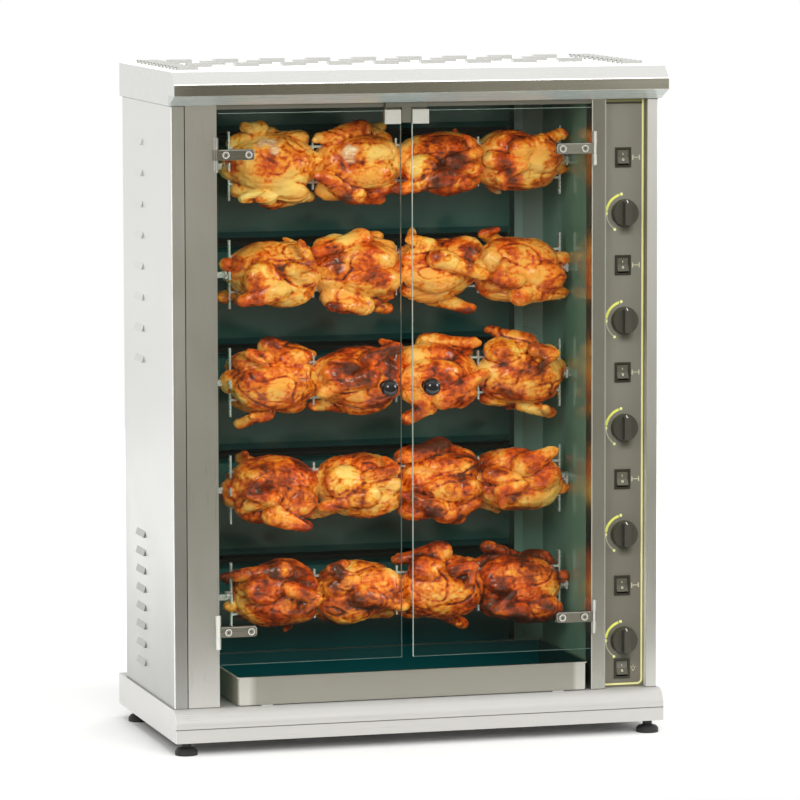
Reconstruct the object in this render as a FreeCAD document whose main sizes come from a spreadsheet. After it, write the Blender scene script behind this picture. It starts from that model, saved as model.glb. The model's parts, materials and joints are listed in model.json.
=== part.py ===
import FreeCAD, Part
import math
import os
import Sketcher

# Gas chicken rotisserie: a stainless cabinet with five driven spits in a glazed chamber, burners
# behind the back lining, two hinged glass doors, a drip tray, and a column of switches and knobs.
# Millimetres, +Z up, front towards -Y, origin on the floor in the middle of the footprint.

SIZES = (
    ("overall_width", 850, "across the cap and the plinth"),
    ("overall_depth", 450, "from the cap's nose to the plinth's back edge"),
    ("sheet", 1.5, "thickness of the stainless sheet"),
    ("foot_height", 22, "from the floor to the plinth"),
    ("foot_radius", 19, "of the rubber pad"),
    ("foot_inset", 22, "from the plinth's sides and front to a foot's centre"),
    ("foot_back", 60, "from the plinth's back edge to a rear foot's centre"),
    ("foot_stem_radius", 5, "of the threaded stem"),
    ("foot_stem_length", 12, "of the stem above the plinth's underside"),
    ("foot_plate_width", 60, "of the square plate that takes a foot's stem"),
    ("foot_plate_thickness", 3, "of the same plate"),
    ("plinth_height", 53.5, "from its underside to the chamber floor"),
    ("plinth_setback", 18, "from the cap's nose back to the plinth's front"),
    ("plinth_round", 26, "radius of the plinth's front top edge"),
    ("plinth_seam_height", 22, "of the seam groove above the plinth's underside"),
    ("plinth_seam_width", 1.2, "of the same groove"),
    ("plinth_seam_depth", 0.7, "of the same groove"),
    ("body_width", 842, "across the side casings"),
    ("body_height", 1002, "from the plinth to the cap"),
    ("body_depth", 362, "from the pillars to the rear casing"),
    ("fold_round", 2, "outside radius of a casing's front fold"),
    ("nose_reach", 44, "how far the cap's nose stands out past the pillars"),
    ("nose_low", 17.5, "height of the nose's lower slanted face"),
    ("nose_band", 18.5, "height of the nose's upright face"),
    ("nose_slope", 24, "depth of the nose's upper slanted face"),
    ("nose_round", 3, "radius of the nose's edges"),
    ("cap_height", 56.5, "of the top cap"),
    ("cap_overhang", 4, "of the cap behind the body"),
    ("cap_lip", 2, "of the cap's lower edge in front of the pillars"),
    ("cap_flange", 14, "width of the cap's bottom flange inside the casings"),
    ("vent_length", 42, "of a slot in the cap"),
    ("vent_width", 16, "of a slot in the cap"),
    ("vent_rise", 7, "how far a pressed hood stands over its slot"),
    ("vent_slope", 3, "depth of the hood's slanted front"),
    ("vent_wall", 1.2, "thickness of the hood"),
    ("vent_pitch_across", 81, "between the slots of a row"),
    ("vent_pitch_deep", 72, "between rows of slots"),
    ("vent_left", 66, "from the cap's side to the first slot"),
    ("vent_front", 138, "from the pillars to the first row of slots"),
    ("end_vent_length", 24, "of a slit near the cap's ends"),
    ("end_vent_width", 9, "of a slit near the cap's ends"),
    ("end_vent_pitch", 26, "between the slits near the cap's ends"),
    ("end_vent_side", 24, "from the cap's sides to those slits"),
    ("end_vent_front", 34, "from the pillars to the first of them"),
    ("corner_strip", 22, "width of the left casing's front return"),
    ("corner_seam", 1.5, "between that return and the left pillar"),
    ("left_pillar_width", 53.5, "of the left pillar's face"),
    ("cavity_width", 648, "between the pillars"),
    ("right_pillar_width", 25, "of the right pillar's face"),
    ("panel_width", 73, "of the control panel that shows"),
    ("panel_recess", 15, "of the control panel behind the pillars"),
    ("panel_thickness", 2, "of the control panel"),
    ("panel_overlap", 9, "of the control panel behind its neighbours"),
    ("strip_return", 18, "depth of the left casing's inner return"),
    ("pillar_return", 31, "depth of a pillar's inner return"),
    ("louvre_length", 60, "of a pressed louvre"),
    ("louvre_height", 11, "of a pressed louvre"),
    ("louvre_reach", 3.6, "how far a louvre stands out"),
    ("louvre_wall", 1.2, "thickness of a louvre's hood"),
    ("louvre_back", 91, "from the rear casing to the louvres"),
    ("upper_louvre_pitch", 52.5, "between the upper louvres"),
    ("upper_louvre_low", 559, "from the plinth to the lowest upper louvre"),
    ("lower_louvre_pitch", 31.4, "between the lower louvres"),
    ("lower_louvre_low", 41, "from the plinth to the lowest lower louvre"),
    ("rear_vent_length", 140, "of a slot in the rear casing"),
    ("rear_vent_width", 8, "of a slot in the rear casing"),
    ("rear_vent_pitch", 30, "between the slots of the rear casing"),
    ("rear_vent_low", 640, "from the plinth to the lowest rear slot"),
    ("rear_vent_side", 90, "from the rear casing's edge to its slots"),
    ("oven_depth", 306, "from the pillars' faces to the chamber's back"),
    ("oven_top_drop", 7.5, "from the cap down to the chamber's ceiling"),
    ("corner_cut", 28, "of the chamber's slanted corners, along either wall"),
    ("corner_flange", 15, "of a side lining on the back lining"),
    ("header_front", 5, "from the pillars' faces back to the header"),
    ("lowest_spit", 164.5, "from the plinth to the lowest spit"),
    ("row_pitch", 182, "between spits"),
    ("spit_setback", 141, "from the pillars' faces back to the spits"),
    ("spit_side", 10, "of the square rod"),
    ("spit_play", 0.1, "round the rod in its socket and forks"),
    ("journal_radius", 4.5, "of the rod's turned left end"),
    ("journal_length", 32, "of the same"),
    ("journal_tail", 18, "how far the journal reaches past the left lining"),
    ("running_play", 0.05, "round a shaft in its bearing"),
    ("bush_radius", 8, "of a bush's barrel"),
    ("bush_flange_radius", 11, "of a bush's flange"),
    ("bush_flange", 5, "thickness of a bush's flange"),
    ("bush_length", 14, "of a bush's barrel"),
    ("socket_radius", 11, "of a drive socket"),
    ("socket_reach", 3, "how far a socket stands into the chamber"),
    ("socket_length", 22, "of a drive socket"),
    ("socket_grip", 18, "length of rod inside the socket"),
    ("socket_gap", 1.3, "round a socket in its gearbox"),
    ("shaft_radius", 5, "of the motor's output shaft"),
    ("shaft_length", 18, "of the same, past the socket"),
    ("wall_hole_radius", 13, "in the right lining round a socket"),
    ("gearbox_length", 39.5, "along the spit"),
    ("gearbox_width", 64, "across the spit, both ways"),
    ("motor_radius", 22, "of the motor's can"),
    ("motor_length", 33, "of the motor's can"),
    ("bird_left", 53, "from the left lining to the first fork"),
    ("bird_pitch", 145, "from fork to fork"),
    ("bird_radius", 76, "of a bird, to its octagon's corners"),
    ("bird_gap", 0.4, "between a bird and the forks' crossbars"),
    ("fork_height", 116, "of a fork's crossbar"),
    ("middle_fork_height", 84, "of a double fork's crossbar between two birds"),
    ("fork_width", 8, "of a fork's crossbar"),
    ("fork_thickness", 3, "of a fork's crossbar"),
    ("fork_hub_radius", 10, "of a fork's hub"),
    ("fork_hub_length", 8, "of an end fork's hub"),
    ("tine_spread", 30, "from the rod to a tine"),
    ("tine_length", 55, "of a tine"),
    ("tine_side", 4, "of a tine at its root"),
    ("tine_tip", 0.6, "of a tine at its point"),
    ("thumb_radius", 3, "of a thumb screw's shank"),
    ("thumb_reach", 22, "of a thumb screw's head from the rod's axis"),
    ("thumb_head", 14, "width of a thumb screw's head"),
    ("thumb_head_height", 7, "of the same"),
    ("thumb_head_thickness", 3, "of the same"),
    ("slot_sill", 34, "from a spit up to its burner slot"),
    ("slot_height", 15, "of a burner slot"),
    ("slot_margin", 24, "from the slanted corners to a burner slot's ends"),
    ("hood_reach", 12, "of a burner hood in front of the back lining"),
    ("hood_flange", 9.5, "of a burner hood on the back lining"),
    ("burner_radius", 11, "of a burner tube"),
    ("burner_setback", 18, "from the chamber's back to the burners' axes"),
    ("burner_port", 5, "height of a burner's flame slot"),
    ("saddle_width", 6, "of a burner's saddle"),
    ("saddle_inset", 30, "of a saddle from its burner's end"),
    ("knob_drop", 84, "of a burner knob below its spit"),
    ("knob_across", 37.5, "from the control panel's left edge to the knobs"),
    ("knob_radius", 23.5, "of a knob at its skirt"),
    ("knob_face_radius", 21.5, "of a knob's face"),
    ("knob_skirt", 10, "height of a knob's skirt"),
    ("knob_grip_height", 12, "of a knob's grip above its skirt"),
    ("knob_grip_width", 12, "of a knob's grip"),
    ("knob_gap", 2, "between a knob and the control panel"),
    ("spindle_radius", 4, "of a valve spindle"),
    ("spindle_tail", 27, "of a spindle behind the control panel"),
    ("spindle_nose", 14, "of a spindle in front of the control panel"),
    ("valve_width", 30, "of a gas valve"),
    ("valve_height", 34, "of a gas valve"),
    ("valve_depth", 36, "of a gas valve behind its neck"),
    ("valve_neck", 12, "from the control panel to the valve's body"),
    ("valve_neck_radius", 9, "of a gas valve's neck"),
    ("manifold_side", 20, "of the manifold's square tube"),
    ("manifold_low", 22, "from the plinth to the manifold's lower end"),
    ("inlet_height", 29.5, "from the plinth to the gas inlet's axis"),
    ("inlet_pipe_radius", 9, "of the pipe from the inlet to the manifold"),
    ("inlet_radius", 10.48, "of the inlet's parallel half-inch pipe thread"),
    ("inlet_reach", 40, "of the inlet behind the rear casing"),
    ("inlet_hole_play", 1.5, "round the inlet in the rear casing"),
    ("inlet_flange_radius", 17, "of the inlet's flange and locknut"),
    ("inlet_flange_thickness", 3, "of its flange outside the rear casing"),
    ("inlet_nut_thickness", 8, "of its locknut inside"),
    ("feed_radius", 4, "of a burner's feed pipe"),
    ("feed_elbow", 14, "side of a feed pipe's elbow"),
    ("gland_radius", 8, "of the cable gland's thread"),
    ("gland_nut_radius", 12, "of the cable gland's nuts"),
    ("gland_nut_thickness", 7, "of the same"),
    ("gland_bore_radius", 4.5, "of the cable gland's bore"),
    ("gland_across", 70, "from the inlet to the cable gland"),
    ("switch_width", 28, "of a switch's bezel"),
    ("switch_height", 34, "of a switch's bezel"),
    ("switch_bezel", 2, "thickness of a switch's bezel"),
    ("switch_wall", 1.8, "thickness of a switch's housing"),
    ("switch_depth", 22, "of a switch's housing"),
    ("switch_rise", 10, "of a motor switch above its spit"),
    ("switch_across", 34.5, "from the control panel's left edge to the switches"),
    ("lamp_switch_height", 32, "from the plinth to the lamp switch"),
    ("rocker_width", 19.8, "of a rocker"),
    ("rocker_radius", 13, "of a rocker's ends about its pivot"),
    ("rocker_play", 0.3, "round a rocker in its housing"),
    ("rocker_pin_radius", 1.5, "of a rocker's pivot"),
    ("rocker_pin_length", 1.4, "of a rocker's pivot"),
    ("rocker_setback", 4, "from the control panel's face to a rocker's pivot"),
    ("rocker_tilt", -10, "of a rocker at rest, in degrees about the pivot"),
    ("glass", 6, "thickness of a door"),
    ("glass_proud", 3, "of a door in front of the pillars' faces"),
    ("glass_round", 3, "radius of a door's corners"),
    ("glass_side_gap", 2.3, "between a door and the pillar's edge"),
    ("glass_lift", 71.5, "from the plinth to a door"),
    ("glass_drop", 13.5, "from the cap down to a door"),
    ("door_split", 20, "between the two doors"),
    ("hinge_barrel_radius", 3.5, "of a hinge's knuckles"),
    ("hinge_barrel_length", 57, "of a whole hinge"),
    ("hinge_pin_radius", 1.5, "of a hinge's pin"),
    ("hinge_out", 4, "from a pillar's edge to the hinge's axis"),
    ("hinge_forward", 4, "from the pillars' faces to the hinges' axis"),
    ("hinge_low_end", 55, "from a door's lower end to the middle of its lower hinge"),
    ("hinge_high_end", 68.5, "from a door's upper end to the middle of its upper hinge"),
    ("hinge_plate_length", 63, "past the pillar's edge"),
    ("hinge_plate_height", 17.5, "of a hinge plate"),
    ("hinge_plate", 2, "thickness of a hinge plate"),
    ("hinge_play", 0.4, "between a hinge's knuckles"),
    ("hinge_leaf_depth", 26, "of a bracket's leaf along the pillar's return"),
    ("hinge_screw_near", 14, "from the pillar's edge to a hinge plate's first screw"),
    ("hinge_screw_far", 53, "from the pillar's edge to its second screw"),
    ("screw_head_radius", 6, "of a hinge screw's head"),
    ("screw_head", 2.5, "height of a hinge screw's head"),
    ("screw_radius", 2.5, "of a hinge screw's shank"),
    ("screw_play", 1, "round a screw in the glass"),
    ("door_knob_radius", 15, "of a door's ball knob"),
    ("door_knob_stem", 8, "length of its stem"),
    ("door_knob_stem_radius", 6, "of its stem"),
    ("door_knob_inset", 26.5, "from a door's free edge to its knob"),
    ("door_knob_height", 457, "from a door's lower end to its knob"),
    ("door_knob_nut_radius", 9, "of its nut behind the glass"),
    ("door_knob_nut", 4, "thickness of that nut"),
    ("strike_width", 28, "of a strike clip"),
    ("strike_height", 22, "of a strike clip below the glass's edge"),
    ("strike_sheet", 1.5, "thickness of a strike clip"),
    ("strike_rim", 2.6, "width of the raised rim on a strike clip"),
    ("strike_rim_height", 0.8, "of the same"),
    ("catch_width", 72, "of the magnetic catch"),
    ("catch_depth", 16, "of the catch's magnet block"),
    ("catch_drop", 26, "of the magnet block below the header"),
    ("catch_rib", 16, "width of the rib between the doors"),
    ("catch_face", 8, "height of the catch's bracket"),
    ("strike_gap", 0.5, "between the strikes and the magnets"),
    ("tray_left", 31, "from the left pillar to the drip tray"),
    ("tray_width", 608.5, "of the drip tray"),
    ("tray_length", 268, "from its front to its back"),
    ("tray_height", 47.5, "of the drip tray"),
    ("tray_lift", 1.5, "from the chamber floor to the drip tray"),
    ("tray_round", 5, "radius of the tray's upright corners"),
    ("tray_rim", 3, "width of the tray's turned-out rim"),
    ("runner_play", 0.3, "between the tray and its runners"),
    ("runner_width", 20, "of a runner pressed in the plinth"),
    ("runner_inset", 40, "from the tray's side to a runner"),
    ("lamp_radius", 26, "of the lamp's glass in the ceiling"),
    ("lamp_rim", 5, "width of its rim on top of the ceiling"),
    ("lamp_cup_height", 34, "of the lamp's cup above the ceiling"),
    ("lamp_setback", 68, "from the pillars' faces to the lamp"),
    ("lamp_across", 520, "from the left lining to the lamp"),
    ("flue_length", 70, "of a flue slot in the ceiling"),
    ("flue_width", 14, "of a flue slot in the ceiling"),
    ("flue_pitch", 90, "between flue slots"),
)

ROWS = 5
BIRDS = 4
VENT_COLUMNS = 9
VENT_ROWS = 3
END_VENTS = 12
LOUVRES = 8
REAR_SLOTS = 10
FLUE_SLOTS = 6
# A bird's outline along the spit: share of its length, share of its radius.
BIRD_SECTIONS = ((0, 0.46), (0.14, 0.8), (0.42, 1), (0.78, 0.87), (1, 0.5))
OCTAGON = 8
BEND = math.tan(math.radians(22.5))
RAISED = FreeCAD.Rotation(FreeCAD.Vector(1, 0, 0), 90)
TURNS = {
    "X": FreeCAD.Rotation(FreeCAD.Vector(0, 1, 0), 90),
    "Y": FreeCAD.Rotation(FreeCAD.Vector(1, 0, 0), -90),
    "Z": FreeCAD.Rotation(),
    "-X": FreeCAD.Rotation(FreeCAD.Vector(0, 1, 0), -90),
    "-Y": FreeCAD.Rotation(FreeCAD.Vector(1, 0, 0), 90),
}

doc = FreeCAD.newDocument("rotisserie")
sheet_of_sizes = doc.addObject("Spreadsheet::Sheet", "dims")
nodes = []


class Size:
    """A length that knows its number and the spreadsheet expression that gives it."""

    def __init__(self, number, text):
        self.number = number
        self.text = text

    def __add__(self, other):
        other = size(other)
        return Size(self.number + other.number, f"({self.text} + {other.text})")

    def __sub__(self, other):
        other = size(other)
        return Size(self.number - other.number, f"({self.text} - {other.text})")

    def __mul__(self, other):
        other = size(other)
        return Size(self.number * other.number, f"({self.text} * {other.text})")

    def __truediv__(self, other):
        other = size(other)
        return Size(self.number / other.number, f"({self.text} / {other.text})")

    def __neg__(self):
        return Size(-self.number, f"(0 - {self.text})")

    def __radd__(self, other):
        return size(other) + self

    def __rsub__(self, other):
        return size(other) - self


def size(value):
    """A plain number as a Size."""
    return value if isinstance(value, Size) else Size(float(value), f"({float(value)!r})")


class Named:
    """The driving sizes, as attributes bound to their cells."""


d = Named()
for row, (alias, number, note) in enumerate(SIZES, start=1):
    sheet_of_sizes.set(f"A{row}", note)
    sheet_of_sizes.set(f"B{row}", str(number))
    sheet_of_sizes.setAlias(f"B{row}", alias)
    setattr(d, alias, Size(float(number), f"dims.{alias}"))
doc.recompute()


def bind(obj, path, value):
    """Ties a property to the spreadsheet."""
    obj.setExpression(path, size(value).text)


def put(obj, place):
    """Ties an object's position to the spreadsheet."""
    for axis, value in zip("xyz", place):
        bind(obj, f"Placement.Base.{axis}", value)
    return obj


def turn(obj, axis):
    """Points an object's own Z along an axis."""
    obj.Placement = FreeCAD.Placement(FreeCAD.Vector(), TURNS[axis])
    return obj


def box(name, low, high):
    """A block between its lowest and highest corners."""
    obj = doc.addObject("Part::Box", name)
    for side, a, b in zip(("Length", "Width", "Height"), low, high):
        bind(obj, side, size(b) - a)
    return put(obj, low)


def cylinder(name, start, radius, length, axis):
    """A cylinder that starts at a point and runs along an axis."""
    obj = turn(doc.addObject("Part::Cylinder", name), axis)
    bind(obj, "Radius", radius)
    bind(obj, "Height", length)
    return put(obj, start)


def cone(name, start, radii, length, axis):
    """A cone with its first radius at its start."""
    obj = turn(doc.addObject("Part::Cone", name), axis)
    bind(obj, "Radius1", radii[0])
    bind(obj, "Radius2", radii[1])
    bind(obj, "Height", length)
    return put(obj, start)


def fuse(name, *shapes):
    """One solid from several that touch."""
    obj = doc.addObject("Part::MultiFuse", name)
    obj.Shapes = list(shapes)
    return obj


def cut(name, base, *tools):
    """A solid less others."""
    obj = doc.addObject("Part::Cut", name)
    obj.Base = base
    obj.Tool = tools[0] if len(tools) == 1 else group(name + "_tools", *tools)
    return obj


def group(name, *shapes):
    """Separate solids side by side."""
    obj = doc.addObject("Part::Compound", name)
    obj.Links = list(shapes)
    return obj


def mirror(name, source, middle):
    """A copy on the other side of the upright plane at a given x."""
    obj = doc.addObject("Part::Mirroring", name)
    obj.Source = source
    obj.Normal = FreeCAD.Vector(1, 0, 0)
    bind(obj, "Base.x", middle)
    return obj


def sketch_on(body, plane, offset):
    """A sketch on one of its body's own planes, moved along that plane's normal."""
    sketch = body.newObject("Sketcher::SketchObject", body.Name + "_outline")
    planes = [f for f in body.Origin.OriginFeatures if f.Role == plane + "_Plane"]
    sketch.AttachmentSupport = [(planes[0], "")]
    sketch.MapMode = "FlatFace"
    bind(sketch, "AttachmentOffset.Base.z", offset)
    return sketch


def draw(sketch, corners):
    """Draws a closed outline. A corner is (u, v), or (u, v, radius) where it is rounded."""
    count = len(corners)
    spots = [FreeCAD.Vector(size(c[0]).number, size(c[1]).number, 0) for c in corners]
    entries = []
    exits = []
    for i, corner in enumerate(corners):
        back = spots[i - 1] - spots[i]
        ahead = spots[(i + 1) % count] - spots[i]
        trim = 0
        if len(corner) == 3:
            trim = size(corner[2]).number / math.tan(back.getAngle(ahead) / 2)
        entries.append(spots[i] + back.normalize() * trim)
        exits.append(spots[i] + ahead.normalize() * trim)
    lines = [
        sketch.addGeometry(Part.LineSegment(exits[i], entries[(i + 1) % count])) for i in range(count)
    ]
    rules = []
    bound = []
    for i, corner in enumerate(corners):
        before, after = lines[i - 1], lines[i]
        if len(corner) == 2:
            rules.append(Sketcher.Constraint("Coincident", before, 2, after, 1))
            held = after
        else:
            held = sketch.addGeometry(Part.Point(spots[i]), True)
            rules.append(Sketcher.Constraint("PointOnObject", held, 1, before))
            rules.append(Sketcher.Constraint("PointOnObject", held, 1, after))
            arc = sketch.addGeometry(corner_arc(entries[i], exits[i], spots[i]))
            first, last = 1, 2
            if sketch.getPoint(arc, 1).distanceToPoint(entries[i]) > 1e-6:
                first, last = 2, 1
            rules.append(Sketcher.Constraint("Tangent", before, 2, arc, first))
            rules.append(Sketcher.Constraint("Tangent", arc, last, after, 1))
            bound.append((len(rules), corner[2]))
            rules.append(Sketcher.Constraint("Radius", arc, size(corner[2]).number))
        bound.append((len(rules), corner[0]))
        rules.append(Sketcher.Constraint("DistanceX", -1, 1, held, 1, spots[i].x))
        bound.append((len(rules), corner[1]))
        rules.append(Sketcher.Constraint("DistanceY", -1, 1, held, 1, spots[i].y))
    sketch.addConstraint(rules)
    for index, value in bound:
        bind(sketch, f"Constraints[{index}]", value)


def corner_arc(entry, leave, corner):
    """The round that touches both sides of a corner at its two points."""
    middle = (entry + leave) * 0.5
    half = entry.distanceToPoint(leave) / 2
    reach = corner.distanceToPoint(middle)
    run = entry.distanceToPoint(corner)
    radius = run * half / reach
    centre = corner + (middle - corner).normalize() * math.hypot(run, radius)
    top = centre + (corner - centre).normalize() * radius
    return Part.Arc(entry, top, leave)


def prism(name, plane, offset, length, corners):
    """A body padded from an outline, along its plane's normal."""
    body = doc.addObject("PartDesign::Body", name)
    sketch = sketch_on(body, plane, offset)
    draw(sketch, corners)
    pad = body.newObject("PartDesign::Pad", name + "_pad")
    pad.Profile = sketch
    bind(pad, "Length", length)
    return body


def turned(name, place, axis, corners):
    """A body revolved from (radius, height) corners, with its foot at a point."""
    body = doc.addObject("PartDesign::Body", name)
    sketch = sketch_on(body, "XZ", 0)
    draw(sketch, corners)
    spin = body.newObject("PartDesign::Revolution", name + "_spin")
    spin.Profile = sketch
    spin.ReferenceAxis = (sketch, ["V_Axis"])
    spin.Angle = 360
    return put(turn(body, axis), place)


def node(name, obj):
    """Hands an object over as one of the part's named pieces."""
    obj.Label = name
    nodes.append(obj)


# Places worked out from the sizes.
half_width = d.overall_width / 2
half_body = d.body_width / 2
floor_z = d.foot_height + d.plinth_height
cap_z = floor_z + d.body_height
cap_top = cap_z + d.cap_height
nose_y = -d.overall_depth / 2
plinth_y = nose_y + d.plinth_setback
plinth_back = d.overall_depth / 2
face_y = nose_y + d.nose_reach
rear_y = face_y + d.body_depth
cap_back = rear_y + d.cap_overhang
strip_x = d.corner_strip - half_body
pillar_x = strip_x + d.corner_seam
cavity_left = pillar_x + d.left_pillar_width
cavity_right = cavity_left + d.cavity_width
cavity_middle = (cavity_left + cavity_right) / 2
panel_left = cavity_right + d.right_pillar_width
panel_right = panel_left + d.panel_width
panel_y = face_y + d.panel_recess
panel_back = panel_y + d.panel_thickness
lining_y = face_y + d.pillar_return
oven_y = face_y + d.oven_depth
back_lining_y = oven_y + d.sheet
ceiling_z = cap_z - d.oven_top_drop
header_y = face_y + d.header_front
spit_y = face_y + d.spit_setback
knob_x = panel_left + d.knob_across
switch_x = panel_left + d.switch_across
slot_left = cavity_left + d.corner_cut + d.slot_margin
slot_right = cavity_right - d.corner_cut - d.slot_margin
burner_y = oven_y + d.burner_setback
glass_front = face_y - d.glass_proud
glass_back = glass_front + d.glass
glass_low = floor_z + d.glass_lift
glass_high = cap_z - d.glass_drop
hinge_y = face_y - d.hinge_forward
manifold_y = panel_back + d.valve_neck + d.valve_depth
inlet_z = floor_z + d.inlet_height


def spit_z(row):
    """Height of a spit, counted from the top."""
    return floor_z + d.lowest_spit + d.row_pitch * (ROWS - 1 - row)


def build_plinth():
    side = d.sheet
    outer = prism("plinth_outer", "YZ", -half_width, d.overall_width, (
        (plinth_back, d.foot_height),
        (plinth_back, floor_z),
        (plinth_y, floor_z, d.plinth_round),
        (plinth_y, d.foot_height),
    ))
    inner = prism("plinth_inner", "YZ", side - half_width, d.overall_width - side * 2, (
        (plinth_back - side, d.foot_height),
        (plinth_back - side, floor_z - side),
        (plinth_y + side, floor_z - side, d.plinth_round - side),
        (plinth_y + side, d.foot_height),
    ))
    seam_z = d.foot_height + d.plinth_seam_height
    seam = box("plinth_seam", (-half_width, plinth_y, seam_z),
               (half_width, plinth_y + d.plinth_seam_depth, seam_z + d.plinth_seam_width))
    shell = cut("plinth_shell", outer, inner, seam)
    pieces = [shell]
    for i, (x, y) in enumerate(foot_places()):
        low_x = x - d.foot_plate_width / 2 if x.number > 0 else -half_width + side
        high_x = half_width - side if x.number > 0 else x + d.foot_plate_width / 2
        low_y = y - d.foot_plate_width / 2 if y.number > 0 else plinth_y + side
        high_y = plinth_back - side if y.number > 0 else y + d.foot_plate_width / 2
        plate = box(f"foot_plate_{i}", (low_x, low_y, d.foot_height),
                    (high_x, high_y, d.foot_height + d.foot_plate_thickness))
        hole = cylinder(f"foot_hole_{i}", (x, y, d.foot_height), d.foot_stem_radius + d.running_play,
                        d.foot_plate_thickness, "Z")
        pieces.append(cut(f"foot_plate_bored_{i}", plate, hole))
    tray_x = cavity_left + d.tray_left
    for i, x in enumerate((tray_x + d.runner_inset,
                           tray_x + d.tray_width - d.runner_inset - d.runner_width)):
        pieces.append(box(f"runner_{i}", (x, face_y, floor_z),
                          (x + d.runner_width, face_y + d.tray_length,
                           floor_z + d.tray_lift - d.runner_play)))
    node("base_plinth", fuse("base_plinth", *pieces))


def foot_places():
    """Where the four feet stand."""
    x = half_width - d.foot_inset
    return [(sx, sy) for sx in (-x, x)
            for sy in (plinth_y + d.foot_inset, plinth_back - d.foot_back)]


def build_feet():
    neck = d.foot_stem_radius + 3
    feet = []
    for i, (x, y) in enumerate(foot_places()):
        feet.append(turned(f"foot_{i}", (x, y, 0), "Z", (
            (0, 0),
            (d.foot_radius, 0),
            (d.foot_radius, d.foot_height * 0.3),
            (d.foot_radius * 0.8, d.foot_height * 0.5),
            (neck, d.foot_height * 0.6),
            (neck, d.foot_height),
            (d.foot_stem_radius, d.foot_height),
            (d.foot_stem_radius, d.foot_height + d.foot_stem_length),
            (0, d.foot_height + d.foot_stem_length),
        )))
    node("leveling_feet", group("leveling_feet", *feet))


def louvres():
    """Hoods and slits of the left casing's louvres."""
    hoods = []
    slits = []
    y = rear_y - d.louvre_back
    lows = [floor_z + d.upper_louvre_low + d.upper_louvre_pitch * i for i in range(LOUVRES)]
    lows += [floor_z + d.lower_louvre_low + d.lower_louvre_pitch * i for i in range(LOUVRES)]
    for i, z in enumerate(lows):
        outer = louvre_wedge(f"louvre_outer_{i}", (-half_body, y, z), d.louvre_reach, d.louvre_length,
                             d.louvre_height)
        inner = louvre_wedge(f"louvre_inner_{i}", (-half_body, y - d.louvre_wall, z),
                             d.louvre_reach - d.louvre_wall, d.louvre_length - d.louvre_wall * 2,
                             d.louvre_height - d.louvre_wall * 2)
        hoods.append(cut(f"louvre_{i}", outer, inner))
        slits.append(box(f"louvre_slit_{i}",
                         (-half_body, y - d.louvre_length + d.louvre_wall, z),
                         (d.sheet - half_body, y - d.louvre_wall,
                          z + d.louvre_height - d.louvre_wall * 2)))
    return group("louvre_hoods", *hoods), group("louvre_slits", *slits)


def louvre_wedge(name, corner, reach, length, height):
    """A wedge that is thick at its foot and fades out at its top."""
    obj = doc.addObject("Part::Wedge", name)
    obj.Placement = FreeCAD.Placement(FreeCAD.Vector(), RAISED)
    fade = reach / 20
    for prop, value in (("Xmin", -reach), ("Xmax", 0), ("X2min", -fade), ("X2max", 0),
                        ("Ymin", 0), ("Ymax", height), ("Zmin", 0), ("Zmax", length),
                        ("Z2min", 0), ("Z2max", length)):
        bind(obj, prop, value)
    return put(obj, corner)


def build_side_panels():
    side = d.sheet
    inside = rear_y - side
    sheet = prism("left_side_sheet", "XY", floor_z, d.body_height, (
        (-half_body, inside),
        (-half_body, face_y, d.fold_round),
        (strip_x, face_y),
        (strip_x, face_y + d.strip_return),
        (strip_x - side, face_y + d.strip_return),
        (strip_x - side, face_y + side),
        (side - half_body, face_y + side),
        (side - half_body, inside),
    ))
    hoods, slits = louvres()
    slotted = cut("left_side_slotted", sheet, slits)
    node("left_side_panel", fuse("left_side_panel", slotted, hoods))
    sheet = prism("right_side_sheet", "XY", floor_z, d.body_height, (
        (half_body, inside),
        (half_body - side, inside),
        (half_body - side, face_y + side),
        (panel_right + side, face_y + side),
        (panel_right + side, panel_y),
        (panel_right, panel_y),
        (panel_right, face_y),
        (half_body, face_y, d.fold_round),
    ))
    hoods = mirror("right_louvre_hoods", hoods, 0)
    slits = mirror("right_louvre_slits", slits, 0)
    slotted = cut("right_side_slotted", sheet, slits)
    node("right_side_panel", fuse("right_side_panel", slotted, hoods))


def build_back_panel():
    plate = box("back_sheet", (-half_body, rear_y - d.sheet, floor_z), (half_body, rear_y, cap_z))
    cuts = [
        cylinder("inlet_hole", (knob_x, rear_y - d.sheet, inlet_z), d.inlet_radius + d.inlet_hole_play,
                 d.sheet, "Y"),
        cylinder("gland_hole", (knob_x - d.gland_across, rear_y - d.sheet, inlet_z),
                 d.gland_radius + d.running_play, d.sheet, "Y"),
    ]
    for i in range(REAR_SLOTS):
        z = floor_z + d.rear_vent_low + d.rear_vent_pitch * i
        for j, x in enumerate((d.rear_vent_side - half_body,
                               half_body - d.rear_vent_side - d.rear_vent_length)):
            cuts.append(box(f"rear_slot_{i}_{j}", (x, rear_y - d.sheet, z),
                            (x + d.rear_vent_length, rear_y, z + d.rear_vent_width)))
    node("back_panel", cut("back_panel", plate, *cuts))


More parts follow.
